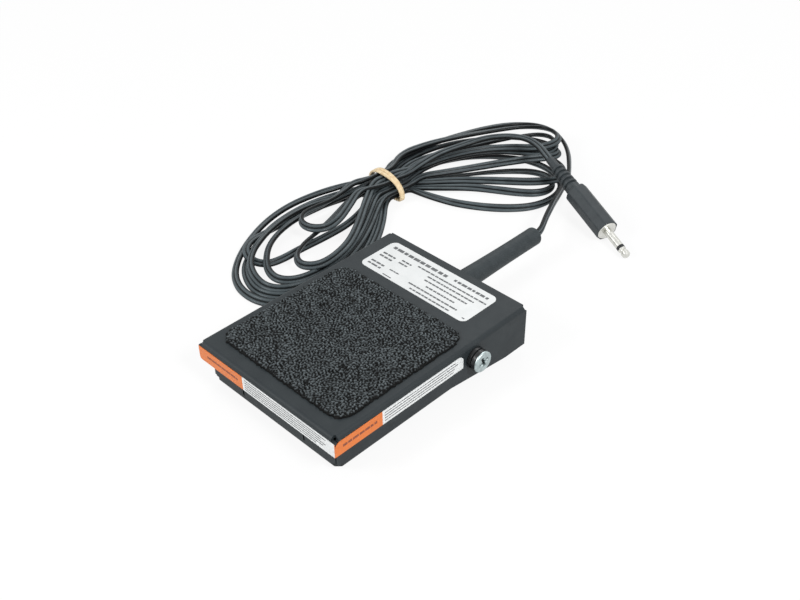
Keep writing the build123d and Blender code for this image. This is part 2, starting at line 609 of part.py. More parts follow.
# Strain relief: sleeve outside the rear wall, neck in its hole, flange inside
FLANGE_BACK_Y = TRAY_REAR_Y - SHEET - RELIEF_LIP_GAP
FLANGE_FACE_Y = FLANGE_BACK_Y - RELIEF_FLANGE_THICK
SLEEVE_FOOT_Y = TRAY_REAR_Y + RELIEF_LIP_GAP
with BuildPart() as strain_relief:
    with BuildSketch(Plane.YZ):
        with BuildLine():
            Polyline(
                (FLANGE_FACE_Y, RELIEF_Z),
                (FLANGE_FACE_Y, RELIEF_Z + RELIEF_FLANGE_R),
                (FLANGE_BACK_Y, RELIEF_Z + RELIEF_FLANGE_R),
                (FLANGE_BACK_Y, RELIEF_Z + RELIEF_NECK_R),
                (SLEEVE_FOOT_Y, RELIEF_Z + RELIEF_NECK_R),
                (SLEEVE_FOOT_Y, RELIEF_Z + RELIEF_BASE_R),
            )
            flare = Spline(
                (SLEEVE_FOOT_Y, RELIEF_Z + RELIEF_BASE_R),
                (SLEEVE_FOOT_Y + RELIEF_FLARE, RELIEF_Z + RELIEF_WAIST_R),
                (RELIEF_END_Y, RELIEF_Z + RELIEF_TIP_R),
            )
            Polyline(flare @ 1, (RELIEF_END_Y, RELIEF_Z), (FLANGE_FACE_Y, RELIEF_Z))
        make_face()
    revolve(axis=Axis((0, 0, RELIEF_Z), (0, 1, 0)))
    fillet(strain_relief.edges().group_by(Axis.Y)[-1], RELIEF_TIP_ROUND)
finish(strain_relief, "strain_relief")


# Cables: plain tubes of straight runs joined by the largest tangent arcs that fit
def cable(name, route, radius):
    """Sweeps a tube along a route and prints its length, its radii and its volume against the length."""
    corners = [Vector(*point) for point in route]
    radii = []
    for before, at, after in zip(corners, corners[1:], corners[2:]):
        turn = radians((at - before).get_angle(after - at))
        run = min((at - before).length, (after - at).length)
        radii.append(ARC_SHARE * run / tan(turn / 2))
    with BuildPart() as tube:
        with BuildLine() as path:
            FilletPolyline(*corners, radius=radii)
        with BuildSketch(Plane(origin=path.line @ 0, z_dir=path.line % 0)):
            Circle(radius)
        sweep()
    finish(tube, name)
    length = sum(edge.length for edge in path.edges())
    ratio = tube.part.volume / (pi * radius**2 * length)
    print(f"{name}: {length:.1f} mm, volume ratio {ratio:.3f}, radii", [round(r, 1) for r in radii])


for name, terminal, side in (("lead_common", TERMINALS[0], -1), ("lead_switched", TERMINALS[2], 1)):
    start_x = terminal[1]
    lead_z = BLADE_Z + TERMINAL_THICK / 2
    cable(
        name,
        [
            (start_x, BLADE_END_Y, lead_z),
            (start_x, BLADE_END_Y + 6, lead_z),
            (start_x / 2 + side * 1.5, BLADE_END_Y + 15, lead_z + 1.2),
            (side * LEAD_WIRE_GAP, FLANGE_FACE_Y - 6, RELIEF_Z),
            (side * LEAD_WIRE_GAP, FLANGE_FACE_Y, RELIEF_Z),
        ],
        LEAD_WIRE_R,
    )

# Jack plug, drawn along its own axis from the tip to the boot
plug_half = Plane(origin=PLUG_TIP, x_dir=PLUG_SIDE, z_dir=PLUG_SIDE.cross(PLUG_AXIS))
plug_across = Plane(origin=PLUG_TIP, x_dir=PLUG_SIDE, z_dir=PLUG_AXIS)
plug_axis = Axis(PLUG_TIP, PLUG_AXIS)
SLEEVE_START = TIP_LENGTH + INSULATOR_LENGTH
HANDLE_START = PIN_LENGTH + COLLAR_PROUD
HANDLE_END = HANDLE_START + HANDLE_LENGTH
BOOT_START = HANDLE_END + HANDLE_WAIST_LENGTH
BOOT_RIBS_END = BOOT_START + BOOT_RIBS * BOOT_RIB_PITCH
BOOT_END = BOOT_RIBS_END + BOOT_TAIL_LENGTH


def turned(name, outline):
    """Revolves a half outline of (radius, distance from the tip) pairs round the plug's axis."""
    with BuildPart() as piece:
        with BuildSketch(plug_half):
            with BuildLine():
                Polyline(*outline, close=True)
            make_face()
        revolve(axis=plug_axis)
    finish(piece, name)


turned(
    "plug_tip",
    [
        (0, 0),
        (TIP_POINT_R, 0),
        (PIN_R, TIP_BEVEL),
        (PIN_R, TIP_LENGTH * 0.5),
        (TIP_NECK_R, TIP_LENGTH * 0.8),
        (PIN_R, TIP_LENGTH - TIP_RIM),
        (PIN_R, TIP_LENGTH),
        (PIN_CORE_R, TIP_LENGTH),
        (PIN_CORE_R, SLEEVE_START + PIN_CORE_REACH),
        (0, SLEEVE_START + PIN_CORE_REACH),
    ],
)
turned(
    "plug_insulator",
    [
        (PIN_CORE_R + FIT_GAP, TIP_LENGTH),
        (PIN_R, TIP_LENGTH),
        (PIN_R, SLEEVE_START),
        (PIN_CORE_R + FIT_GAP, SLEEVE_START),
    ],
)
turned(
    "plug_sleeve",
    [
        (PIN_CORE_R + FIT_GAP, SLEEVE_START),
        (PIN_R, SLEEVE_START),
        (PIN_R, PIN_LENGTH - PIN_SHOULDER_GAP),
        (SLEEVE_ROOT_R, PIN_LENGTH - PIN_SHOULDER_GAP),
        (SLEEVE_ROOT_R, HANDLE_START + SLEEVE_ROOT),
        (0, HANDLE_START + SLEEVE_ROOT),
        (0, SLEEVE_START + PIN_CORE_REACH + FIT_GAP),
        (PIN_CORE_R + FIT_GAP, SLEEVE_START + PIN_CORE_REACH + FIT_GAP),
    ],
)
turned(
    "plug_collar",
    [
        (SLEEVE_ROOT_R + FIT_GAP, PIN_LENGTH),
        (COLLAR_R - COLLAR_PROUD, PIN_LENGTH),
        (COLLAR_R, HANDLE_START),
        (COLLAR_R, PIN_LENGTH + COLLAR_THICK),
        (SLEEVE_ROOT_R + FIT_GAP, PIN_LENGTH + COLLAR_THICK),
    ],
)

with BuildPart() as plug_handle:
    with BuildSketch(plug_across.offset(HANDLE_START)):
        RegularPolygon(HANDLE_R, HANDLE_FLATS, rotation=180 / HANDLE_FLATS)
        fillet(vertices(), HANDLE_EDGE_R)
    extrude(amount=HANDLE_LENGTH)
    handle_ends = plug_handle.edges().group_by(plug_axis)
    fillet(handle_ends[-1], HANDLE_REAR_ROUND)
    fillet(handle_ends[0], HANDLE_FRONT_ROUND)
    with BuildSketch(plug_across.offset(HANDLE_END)):
        Circle(HANDLE_WAIST_R)
    extrude(amount=HANDLE_WAIST_LENGTH)
    with BuildSketch(plug_across.offset(HANDLE_START)):
        Circle(COLLAR_R + FIT_GAP)
    extrude(amount=COLLAR_THICK - COLLAR_PROUD, mode=Mode.SUBTRACT)
    with BuildSketch(plug_across.offset(HANDLE_START)):
        Circle(SLEEVE_ROOT_R + FIT_GAP)
    extrude(amount=SLEEVE_ROOT, mode=Mode.SUBTRACT)
finish(plug_handle, "plug_handle")

boot_outline = [(0, BOOT_START)]
for rib in range(BOOT_RIBS):
    rib_start = BOOT_START + rib * BOOT_RIB_PITCH
    rib_r = BOOT_RIB_R - rib * BOOT_RIB_STEP
    groove_r = BOOT_GROOVE_R - rib * BOOT_RIB_STEP
    boot_outline += [
        (groove_r, rib_start),
        (groove_r, rib_start + BOOT_RIB_PITCH * 0.4),
        (rib_r, rib_start + BOOT_RIB_PITCH * 0.5),
        (rib_r, rib_start + BOOT_RIB_PITCH * 0.9),
    ]
boot_outline += [(groove_r, BOOT_RIBS_END), (BOOT_TAIL_R, BOOT_END), (0, BOOT_END)]
turned("plug_boot", boot_outline)

# Cord from the strain relief to the bundle, and from the bundle's top to the plug's boot
cable(
    "cord_relief_run",
    [
        (0, RELIEF_END_Y, RELIEF_Z),
        (0, RELIEF_END_Y + CORD_FIRST_RUN, RELIEF_Z),
        (-5.2, 108.0, 9.7),
        (-10.0, 117.5, 8.2),
        (-14.2, 126.0, 6.6),
        (-18.0, 134.5, 5.2),
        (-21.5, 142.0, 4.3),
    ],
    CORD_R,
)
boot_mouth = plug_axis.position + PLUG_AXIS * BOOT_END
cable(
    "cord_plug_run",
    [
        tuple(boot_mouth),
        tuple(boot_mouth + PLUG_AXIS * CORD_FIRST_RUN),
        (-38.0, 143.8, 16.6),
        (-45.8, 146.3, 15.9),
        (-53.0, 145.8, 15.0),
        (-59.5, 142.5, 14.0),
        (-65.5, 136.5, 12.8),
        (-70.0, 127.5, 11.2),
    ],
    CORD_R,
)

# Bundle of the remaining cord: the outline of its turns, thick where the band holds it
with BuildPart() as cord_bundle:
    with BuildSketch():
        with BuildLine():
            Spline(*BUNDLE_OUTLINE, periodic=True)
        make_face()
        for opening in BUNDLE_OPENINGS:
            with BuildLine():
                Spline(*opening, periodic=True)
            make_face(mode=Mode.SUBTRACT)
    extrude(amount=TIE_HEIGHT + 2 * BAND_THICK)
    with BuildSketch(Plane.YZ):
        with BuildLine():
            Spline(*BUNDLE_TOP)
            Polyline(BUNDLE_TOP[-1], (BUNDLE_TOP[-1][0], 0), (TIE_POINT[1] + TIE_ARCH, 0))
            Spline(
                (TIE_POINT[1] + TIE_ARCH, 0),
                (TIE_POINT[1], BAND_THICK),
                (TIE_POINT[1] - TIE_ARCH, 0),
            )
            Polyline((TIE_POINT[1] - TIE_ARCH, 0), (BUNDLE_TOP[0][0], 0), BUNDLE_TOP[0])
        make_face()
    extrude(amount=TIE_ARCH - min(x for x, _ in BUNDLE_OUTLINE), both=True, mode=Mode.INTERSECT)
finish(cord_bundle, "cord_bundle")

# Rubber band, wound twice round the bundle so that its two loops cross
with BuildPart() as rubber_band:
    for lean in (-BAND_CROSS_DEG, BAND_CROSS_DEG):
        heading = radians(BUNDLE_HEADING_DEG + lean)
        loop = Plane(
            origin=(*TIE_POINT, BAND_THICK + BAND_FLOOR_GAP + TIE_HEIGHT / 2),
            x_dir=(sin(heading), -cos(heading), 0),
            z_dir=(cos(heading), sin(heading), 0),
        )
        with BuildSketch(loop):
            RectangleRounded(
                TIE_WIDTH + 2 * BAND_THICK,
                TIE_HEIGHT + 2 * BAND_THICK,
                TIE_CORNER + BAND_THICK,
            )
            RectangleRounded(TIE_WIDTH, TIE_HEIGHT, TIE_CORNER, mode=Mode.SUBTRACT)
        extrude(amount=BAND_WIDTH / 2, both=True)
finish(rubber_band, "rubber_band")
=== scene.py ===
import math

import bmesh
import bpy
import numpy as np
from mathutils import Matrix, Vector


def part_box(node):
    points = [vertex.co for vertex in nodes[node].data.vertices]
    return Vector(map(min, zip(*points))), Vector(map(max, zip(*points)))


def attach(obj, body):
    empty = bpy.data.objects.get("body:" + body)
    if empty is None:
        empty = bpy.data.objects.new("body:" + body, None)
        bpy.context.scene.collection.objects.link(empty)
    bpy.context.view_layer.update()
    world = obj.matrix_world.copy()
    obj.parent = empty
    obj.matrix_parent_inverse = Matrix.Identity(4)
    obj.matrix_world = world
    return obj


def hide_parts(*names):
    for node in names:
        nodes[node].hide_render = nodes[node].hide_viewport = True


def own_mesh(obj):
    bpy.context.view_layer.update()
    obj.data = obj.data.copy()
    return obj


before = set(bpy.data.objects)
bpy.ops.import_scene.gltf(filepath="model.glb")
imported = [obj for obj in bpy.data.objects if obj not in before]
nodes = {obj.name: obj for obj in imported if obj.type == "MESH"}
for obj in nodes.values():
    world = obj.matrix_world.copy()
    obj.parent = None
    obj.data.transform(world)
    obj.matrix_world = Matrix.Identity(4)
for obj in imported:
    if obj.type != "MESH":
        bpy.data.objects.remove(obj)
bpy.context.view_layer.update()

# Foot switch: its finishes, light and camera, and the cord, band, grip mat, low pivot and print, which
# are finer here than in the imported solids
MM = 0.001
scene = bpy.context.scene
scene.view_settings.view_transform = "Standard"

# Camera at the photograph's place: angles in degrees, place in millimetres
AZIMUTH, ELEVATION, ROLL = (math.radians(a) for a in (45.533, 37.642, -1.056))
CAMERA_PLACE = (223.63, -202.04, 262.07)
CAMERA_LENS = 49.29
CAMERA_NEAR = 0.01
CAMERA_FAR = 20


def place_camera():
    """A camera that sees the object as the photograph does."""
    back = Vector((
        math.sin(AZIMUTH) * math.cos(ELEVATION),
        -math.cos(AZIMUTH) * math.cos(ELEVATION),
        math.sin(ELEVATION),
    ))
    level = Vector((math.cos(AZIMUTH), math.sin(AZIMUTH), 0))
    upward = back.cross(level)
    right = level * math.cos(ROLL) + upward * math.sin(ROLL)
    up = upward * math.cos(ROLL) - level * math.sin(ROLL)
    camera = bpy.data.objects.new("camera", bpy.data.cameras.new("camera"))
    camera.data.lens = CAMERA_LENS
    camera.data.clip_start = CAMERA_NEAR
    camera.data.clip_end = CAMERA_FAR
    turn = Matrix((right, up, back)).transposed().to_4x4()
    camera.matrix_world = Matrix.Translation(Vector(CAMERA_PLACE) * MM) @ turn
    scene.collection.objects.link(camera)
    scene.camera = camera


place_camera()


# Helpers for meshes
def mesh_piece(name, places, faces, smooth=False):
    """A new mesh object from its vertices, in metres, and its faces."""
    mesh = bpy.data.meshes.new(name)
    mesh.from_pydata(np.asarray(places).tolist(), [], faces)
    mesh.update()
    mesh.polygons.foreach_set("use_smooth", [smooth] * len(mesh.polygons))
    piece = bpy.data.objects.new(name, mesh)
    scene.collection.objects.link(piece)
    return piece


def mark_relief(piece, values):
    """Gives each vertex a value from 0, deep, to 1, high, from which a finish paints shade into the deep and
    highlights onto the high.
    """
    relief = piece.data.attributes.new("relief", "FLOAT", "POINT")
    relief.data.foreach_set("value", values.astype(np.float32))


def unit(rows):
    """Rows scaled to length one."""
    return rows / np.linalg.norm(rows, axis=1)[:, None]


def ring_faces(rings, count, closed):
    """Faces between rings of count points each; the ends are shut, or the last ring meets the first."""
    faces = []
    for ring in range(rings if closed else rings - 1):
        following_ring = (ring + 1) % rings
        for step in range(count):
            following = (step + 1) % count
            faces.append((
                ring * count + step,
                ring * count + following,
                following_ring * count + following,
                following_ring * count + step,
            ))
    if not closed:
        faces.append(tuple(reversed(range(count))))
        faces.append(tuple((rings - 1) * count + step for step in range(count)))
    return faces


def swept(path, across, above, profile, closed=False):
    """Places and faces of a profile swept along a path, in the directions given at each of its points."""
    rings = (
        path[:, None, :]
        + across[:, None, :] * profile[None, :, :1]
        + above[:, None, :] * profile[None, :, 1:]
    )
    return rings.reshape(-1, 3), ring_faces(len(path), len(profile), closed)


def spline_points(name, points, steps, closed=False):
    """Points along the smooth line that a NURBS spline draws from its control points, in metres."""
    curve = bpy.data.curves.new(name, "CURVE")
    curve.dimensions = "3D"
    spline = curve.splines.new("NURBS")
    spline.points.add(len(points) - 1)
    for point, place in zip(spline.points, points):
        point.co = (*(float(v) for v in place), 1)
    spline.order_u = 3
    spline.use_cyclic_u = closed
    spline.use_endpoint_u = not closed
    spline.resolution_u = steps
    holder = bpy.data.objects.new(name, curve)
    scene.collection.objects.link(holder)
    mesh = bpy.data.meshes.new_from_object(holder)
    places = np.array([v.co for v in mesh.vertices], float)
    bpy.data.meshes.remove(mesh)
    bpy.data.objects.remove(holder)
    bpy.data.curves.remove(curve)
    return places


# Cord: facts, then its route. Lengths are in millimetres and angles in degrees
CORD_WIDTH = 3.6
CORD_THICK = 1.8
CORD_STEPS = 8
CORE_ANGLES = (-156, -136, -108, -74, -48, -23, 0, 23, 48, 74, 108, 136, 156)
RELIEF_ROUTE = [
    (0, 95, 10.5), (0, 98.5, 10.5), (-5.2, 108.0, 9.7), (-10.0, 117.5, 8.2), (-14.2, 126.0, 6.6),
    (-18.0, 134.5, 5.2), (-21.5, 142.0, 4.3),
]
PLUG_ROUTE = [
    (-70.0, 127.5, 11.2), (-65.5, 136.5, 12.8), (-59.5, 142.5, 14.0), (-53.0, 145.8, 15.0),
    (-45.8, 146.3, 15.9), (-38.0, 143.8, 16.6),
]
PLUG_HEADING, PLUG_RISE = math.radians(161.5), math.radians(13.5)
PLUG_AXIS = np.array((
    math.cos(PLUG_RISE) * math.cos(PLUG_HEADING),
    math.cos(PLUG_RISE) * math.sin(PLUG_HEADING),
    math.sin(PLUG_RISE),
))
PLUG_TIP = np.array((29.1, 119.4, 1.8))
PLUG_LENGTH = 61.4
BOOT_MOUTH = PLUG_TIP + PLUG_AXIS * PLUG_LENGTH
BOOT_LEAD = 3.5
TIE = np.array((-78.5, 87.5))
TIE_HEADING = math.radians(84.0)
TIE_ALONG = np.array((math.cos(TIE_HEADING), math.sin(TIE_HEADING)))
TIE_ACROSS = np.array((math.sin(TIE_HEADING), -math.cos(TIE_HEADING)))
TIE_HALF = 7.0

# Where each strand passes the rubber band: across it, above the floor, and the lean of its wide side
STRANDS = [
    (-8.1, 5.1, 0.2), (7.1, 2.6, -0.2), (-7.1, 2.6, 0.2), (3.6, 2.4, 0.1), (-3.6, 2.4, -0.1),
    (1.9, 5.0, 0.3), (0.0, 2.4, 0.1), (8.0, 5.1, -0.25), (-4.9, 5.2, 0.25), (5.2, 5.2, -0.3),
    (-1.5, 5.2, -0.2), (-0.6, 8.0, 0.3), (-4.7, 8.0, 0.35), (3.5, 7.9, -0.3),
]

# Outer turn from the strain relief's run to the band
FIRST_ARC = [
    (-25, 150, 3.6), (-31, 158, 3.2), (-38, 166.5, 3.2), (-47, 174, 3.4), (-57, 178, 3.6),
    (-66, 176, 4.2), (-73.5, 168.5, 4.8), (-79.3, 156.5, 5.4), (-83.5, 142, 6.2), (-86.5, 127.5, 6.8),
    (-87.5, 112, 7.0), (-87.3, 101, 6.2),
]
# Turns to the front of the band, from the floor up: plan points, height, and how far the turn stands on edge
FRONT_TURNS = [
    ([(-92, 74), (-97, 60), (-99, 46), (-97, 32), (-91, 18), (-84, 7), (-76, -1), (-66, -5), (-55, -4),
      (-47, 3), (-43.5, 14), (-44, 28), (-47, 42), (-53, 55), (-62, 67)], 1.2, 0.5),
    ([(-89, 72), (-94, 58), (-95, 45), (-93, 32), (-87, 19), (-80, 8), (-72, 2), (-62, -1), (-53, 3),
      (-48, 12), (-47, 25), (-49, 38), (-54, 51), (-62, 64), (-69, 74)], 1.4, 0.4),
    ([(-87, 71), (-90.5, 55), (-91, 40), (-90, 27), (-89.6, 18.5), (-85.6, 12.2), (-78.8, 10), (-73, 13.6),
      (-71.2, 20.6), (-71, 30), (-69.5, 42), (-69, 57), (-73.5, 73)], 1.4, 0.2),
    ([(-87, 71), (-92, 56), (-92, 42), (-89, 28), (-83, 15), (-76, 7), (-68, 3), (-59, 2), (-52, 8),
      (-49, 19), (-50, 32), (-54, 46), (-61, 60), (-70, 73)], 3.0, 0.5),
    ([(-85, 68), (-86, 54), (-87, 42), (-85, 31), (-81, 22), (-75, 15), (-67, 9), (-59, 8), (-53, 14),
      (-51, 26), (-53, 40), (-59, 53), (-67, 66), (-74, 76)], 3.6, 0.6),
    ([(-80.5, 68), (-76, 55), (-73, 45), (-71, 36), (-68.5, 28), (-64, 21.5), (-57.5, 19), (-51.8, 23),
      (-51.2, 31), (-54.5, 43), (-62.5, 56), (-71, 67.5)], 5.0, 0.7),
    ([(-86.5, 74), (-84, 65), (-82.8, 57), (-83.6, 49), (-83.6, 42.2), (-79, 37.5), (-72.7, 37.5),
      (-68.2, 42.2), (-68.9, 50), (-74, 61), (-79, 71.5)], 7.5, 0.8),
]
# Turns to the rear of the band
REAR_TURNS = [
    ([(-66.2, 96.2), (-57.5, 97.4), (-48, 100.3), (-37, 106.5), (-28, 114), (-22, 122), (-20, 132),
      (-22.5, 141), (-29, 148), (-40, 152), (-54, 149), (-67, 139), (-77, 124), (-82, 108)], 1.9, 1.0),
    ([(-67, 98), (-60, 106), (-51.5, 114.5), (-42, 120.5), (-33, 126), (-26.8, 132), (-25.6, 139.5),
      (-30.5, 145.8), (-39.5, 145), (-48, 137.8), (-56.5, 127.5), (-65, 115), (-73.5, 104)], 2.6, 0.9),
    ([(-69, 100), (-62, 109), (-54, 117), (-43, 126), (-32, 134.5), (-25.5, 143), (-27, 151), (-36, 157),
      (-50, 158), (-65, 151), (-76, 137), (-83, 121), (-86, 106)], 3.6, 0.8),
    ([(-72, 102), (-66, 112), (-59, 125), (-52, 138), (-45, 149), (-39, 157), (-41, 164), (-50, 167),
      (-62, 163), (-73, 152), (-82, 137), (-87, 120), (-87.5, 105)], 4.8, 0.6),
    ([(-75, 104), (-74, 118), (-68, 133), (-60.5, 143.5), (-52.8, 149), (-45.8, 154), (-42.7, 159.9),
      (-44.7, 166.1), (-50.6, 169.2), (-56.5, 166.8), (-61.8, 159.3), (-67, 149.3), (-73, 136.8),
      (-79, 122.5), (-83, 108)], 6.0, 0.5),
    ([(-74, 104), (-72, 120), (-65, 136), (-56.5, 146), (-48.5, 152), (-43.6, 158.6), (-43.8, 166.2),
      (-49.6, 171.4), (-57.2, 171.6), (-65, 165.5), (-72.3, 153.3), (-80, 138), (-86, 122.5),
      (-88.7, 106.5)], 7.0, 0.5),
]
# Last strand, on top of the bundle, towards the plug
LAST_ARC = [(-72.5, 102), (-73.3, 115)]

# How the route stands on edge, from flat at 0 to upright at 1, and how its turns rise
RELIEF_EDGE = 0.9
ARC_EDGE_LOSS = 0.7
ARC_EDGE_POINTS = 6
TURN_RISE_POWER = 1.3
TURN_EDGE_POWER = 1.5
LAST_HEIGHT = 10.8
LAST_EDGE = 0.1


def turn_points(plan, height, upright, enter, leave):
    """Places and edges of one turn, which starts and ends at the heights of its strands at the band."""
    made = []
    for index, (x, y) in enumerate(plan):
        share = (index + 0.5) / len(plan)
        bump = math.sin(math.pi * share)
        start = enter if share < 0.5 else leave
        z = height + (start - height) * (1 - bump) ** TURN_RISE_POWER
        made.append(((x, y, z), upright * bump**TURN_EDGE_POWER))
    return made


def band_points(index, to_front):
    """Places and edges of a strand where it passes the rubber band."""
    across, height, lean = STRANDS[index]
    middle = TIE + TIE_ACROSS * across
    ahead = 1 if to_front else -1
    return [((*(middle + TIE_ALONG * TIE_HALF * share * ahead), height), lean) for share in (1, 0, -1)]


def control_points():
    """Points of the whole cord, how far it stands on edge at each, and which of them are held."""
    held = [(place, RELIEF_EDGE, True) for place in RELIEF_ROUTE]
    for index, place in enumerate(FIRST_ARC):
        held.append((place, RELIEF_EDGE - ARC_EDGE_LOSS * min(1, index / ARC_EDGE_POINTS), False))
    heights = [height for _, height, _ in STRANDS]
    for index, front_turn in enumerate(FRONT_TURNS):
        first = 2 * index
        held += [(*point, True) for point in band_points(first, True)]
        held += [(*point, False) for point in turn_points(*front_turn, heights[first], heights[first + 1])]
        held += [(*point, True) for point in band_points(first + 1, False)]
        if index < len(REAR_TURNS):
            rear_turn = turn_points(*REAR_TURNS[index], heights[first + 1], heights[first + 2])
            held += [(*point, False) for point in rear_turn]
    held += [((*place, LAST_HEIGHT), LAST_EDGE, True) for place in LAST_ARC]
    held += [(place, 0.0, True) for place in (*PLUG_ROUTE, BOOT_MOUTH + PLUG_AXIS * BOOT_LEAD, BOOT_MOUTH)]
    points, edges, fixed = zip(*held)
    return np.array(points, float), np.array(edges), np.array(fixed)


# Settling: how often and how finely the strands are looked at, and how strongly they push
SETTLE_ROUNDS = 220
SETTLE_SAMPLES = 6
SETTLE_STEP = 2.2
PAIRS_EVERY = 8
PAIR_REACH = 5
STACK_GAP = 0.15
LEVEL_GAP = 0.3
PUSH_UP = 0.5
PUSH_ASIDE = 0.25
SMOOTHING = 0.22
PULL_UP = 0.04
PULL_ASIDE = 0.08
FLAT_LOW = 0.95
EDGE_LOW = 0.9


def spline_weights(count):
    """How much each control point counts at each sample of the line."""
    weights = np.zeros(((count - 2) * SETTLE_SAMPLES, count))
    for span in range(count - 2):
        for step in range(SETTLE_SAMPLES):
            t = step / SETTLE_SAMPLES
            shares = ((1 - t) ** 2 / 2, 0.5 + t - t * t, t * t / 2)
            weights[span * SETTLE_SAMPLES + step, span:span + 3] = shares
    return weights


def strand_force(path, first, second, wide, tall):
    """The push on each sample of the line, from pairs of samples that lie too close."""
    gap = path[second] - path[first]
    reach = (wide[first] + wide[second]) / 2
    rise = (tall[first] + tall[second]) / 2 + STACK_GAP
    size = np.sqrt((np.linalg.norm(gap[:, :2], axis=1) / reach) ** 2 + (gap[:, 2] / rise) ** 2)
    close = size < 1
    need = (1 - size)[close]
    sign = np.where(np.abs(gap[:, 2]) < LEVEL_GAP, 1.0, np.sign(gap[:, 2]))
    push = np.zeros((len(first), 3))
    push[close, 2] = sign[close] * need * rise[close] * PUSH_UP
    push[close, :2] = gap[close, :2] * (need * PUSH_ASIDE)[:, None]
    force = np.zeros_like(path)
    np.add.at(force, second, push)
    np.add.at(force, first, -push)
    pairs = np.zeros(len(path))
    np.add.at(pairs, first[close], 1)
    np.add.at(pairs, second[close], 1)
    return force / np.maximum(pairs, 1)[:, None]


def settle(points, edges, fixed):
    """Lets the cord sink onto the floor and onto itself, strand over strand, near its plan places."""
    weights = spline_weights(len(points))
    lean = (weights @ np.abs(edges)) * math.pi / 2
    wide = CORD_THICK + (CORD_WIDTH - CORD_THICK) * np.cos(lean) ** 2
    tall = CORD_THICK + (CORD_WIDTH - CORD_THICK) * np.sin(lean) ** 2
    lowest = FLAT_LOW + EDGE_LOW * np.sin(np.abs(edges) * math.pi / 2)
    aim = points.copy()
    free = ~fixed
    total = weights.sum(0)
    total[total == 0] = 1
    order = np.arange(len(weights))
    for round_index in range(SETTLE_ROUNDS):
        path = weights @ points
        if round_index % PAIRS_EVERY == 0:
            flat = np.linalg.norm(path[:, None, :2] - path[None, :, :2], axis=2)
            near = (flat < PAIR_REACH) & (order[None, :] - order[:, None] > 2 * SETTLE_SAMPLES)
            first, second = np.nonzero(near)
        force = strand_force(path, first, second, wide, tall)
        move = (weights.T @ force) / total[:, None] * SETTLE_STEP
        points[free] += move[free]
        bend = np.zeros_like(points)
        bend[1:-1] = (points[:-2] + points[2:]) / 2 - points[1:-1]
        points[free, 2] += SMOOTHING * bend[free, 2]
        points[free, 2] += PULL_UP * (aim[free, 2] - points[free, 2])
        points[free, :2] += PULL_ASIDE * (aim[free, :2] - points[free, :2])
        points[free, 2] = np.maximum(points[free, 2], lowest[free])
    return points


def twin_profile():
    """Outline of the two joined cores, wide side first, in metres."""
    core = CORD_THICK / 2
    outline = []
    for side in (1, -1):
        for angle in CORE_ANGLES:
            a = math.radians(angle)
            outline.append((side * (core + core * math.cos(a)), side * core * math.sin(a)))
    return np.array(outline) * MM


def cord_piece():
    """The whole cord along its settled route, and the line that it follows, in metres."""
    points, edges, fixed = control_points()
    points = settle(points, edges, fixed)
    path = spline_points("cord_line", points * MM, CORD_STEPS)
    spread = np.interp(np.linspace(0, 1, len(path)), np.linspace(0, 1, len(edges)), edges)
    leans = (spread * math.pi / 2)[:, None]
    tangent = unit(np.gradient(path, axis=0))
    side = unit(np.cross((0, 0, 1.0), tangent))
    over = np.cross(tangent, side)
    across = side * np.cos(leans) + over * np.sin(leans)
    profile = twin_profile()
    places, faces = swept(path, across, np.cross(tangent, across), profile)
    piece = mesh_piece("cord", places, faces, smooth=True)
    # Relief across the cord: 1 on the tops of both cores, low at their outer sides and in the groove between
    # them, for painted highlights and painted shade
    mark_relief(piece, np.tile(np.abs(profile[:, 1]) / profile[:, 1].max(), len(path)))
    return piece, path


cord, path = cord_piece()
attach(cord, "base")
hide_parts("cord_relief_run", "cord_bundle", "cord_plug_run")

# Rubber band: one band wound twice round the bundle, its two plies crossing near the top
BAND_LOOP = [
    (-8.5, 0.75), (-3, 0.7), (3, 0.7), (8.2, 0.75), (10.8, 1.6), (11.1, 4.0), (10.2, 6.5), (7.4, 8.7),
    (3.8, 9.8), (-0.6, 10.1), (-4.8, 9.9), (-8.3, 8.2), (-10.6, 5.8), (-11.1, 2.8), (-10.4, 1.2),
]
BAND_PLIES = ((-1.0, -0.05), (1.0, 0.06))
BAND_CROSSING = -3.0
BAND_WIDTH = 1.85
BAND_THICK = 1.35
BAND_EDGE_ANGLES = (-60, -30, 0, 30, 60)
BAND_STEPS = 8
BAND_WAVE = 0.12
BAND_WAVE_RATE = 1.7
PLY_PHASE = 2
PLY_SPREAD = 0.012
PLY_LIFT = 0.1


def band_profile():
    """Outline of one ply of the band, its edges rounded, in metres."""
    outline = []
    for side in (1, -1):
        for angle in BAND_EDGE_ANGLES:
            a = math.radians(angle)
            out = (BAND_WIDTH - BAND_THICK) / 2 + BAND_THICK / 2 * math.cos(a)
            outline.append((side * out, side * BAND_THICK / 2 * math.sin(a)))
    return np.array(outline) * MM


def band_line(ply, offset, slant):
    """The closed line of one ply, in metres."""
    loop = []
    for across, height in BAND_LOOP:
        wave = BAND_WAVE * math.sin(BAND_WAVE_RATE * across + PLY_PHASE * ply)
        shift = offset - slant * abs(across - BAND_CROSSING) + wave
        place = TIE + TIE_ACROSS * across * (1 + PLY_SPREAD * ply) + TIE_ALONG * shift
        loop.append((place[0], place[1], height + PLY_LIFT * ply))
    return spline_points("band_line", np.array(loop) * MM, BAND_STEPS, closed=True)


def band_piece():
    """Both plies of the band as one piece."""
    places = np.zeros((0, 3))
    faces = []
    for ply, (offset, slant) in enumerate(BAND_PLIES):
        line = band_line(ply, offset, slant)
        forward = unit(np.roll(line, -1, axis=0) - np.roll(line, 1, axis=0))
        along = np.array((*TIE_ALONG, 0.0))[None, :].repeat(len(line), axis=0)
        outward = unit(np.cross(forward, along))
        wide = np.cross(outward, forward)
        ply_places, ply_faces = swept(line, wide, outward, band_profile(), closed=True)
        faces.extend(tuple(index + len(places) for index in face) for face in ply_faces)
        places = np.vstack([places, ply_places])
    return mesh_piece("band", places, faces, smooth=True)


band = band_piece()
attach(band, "base")
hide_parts("rubber_band")

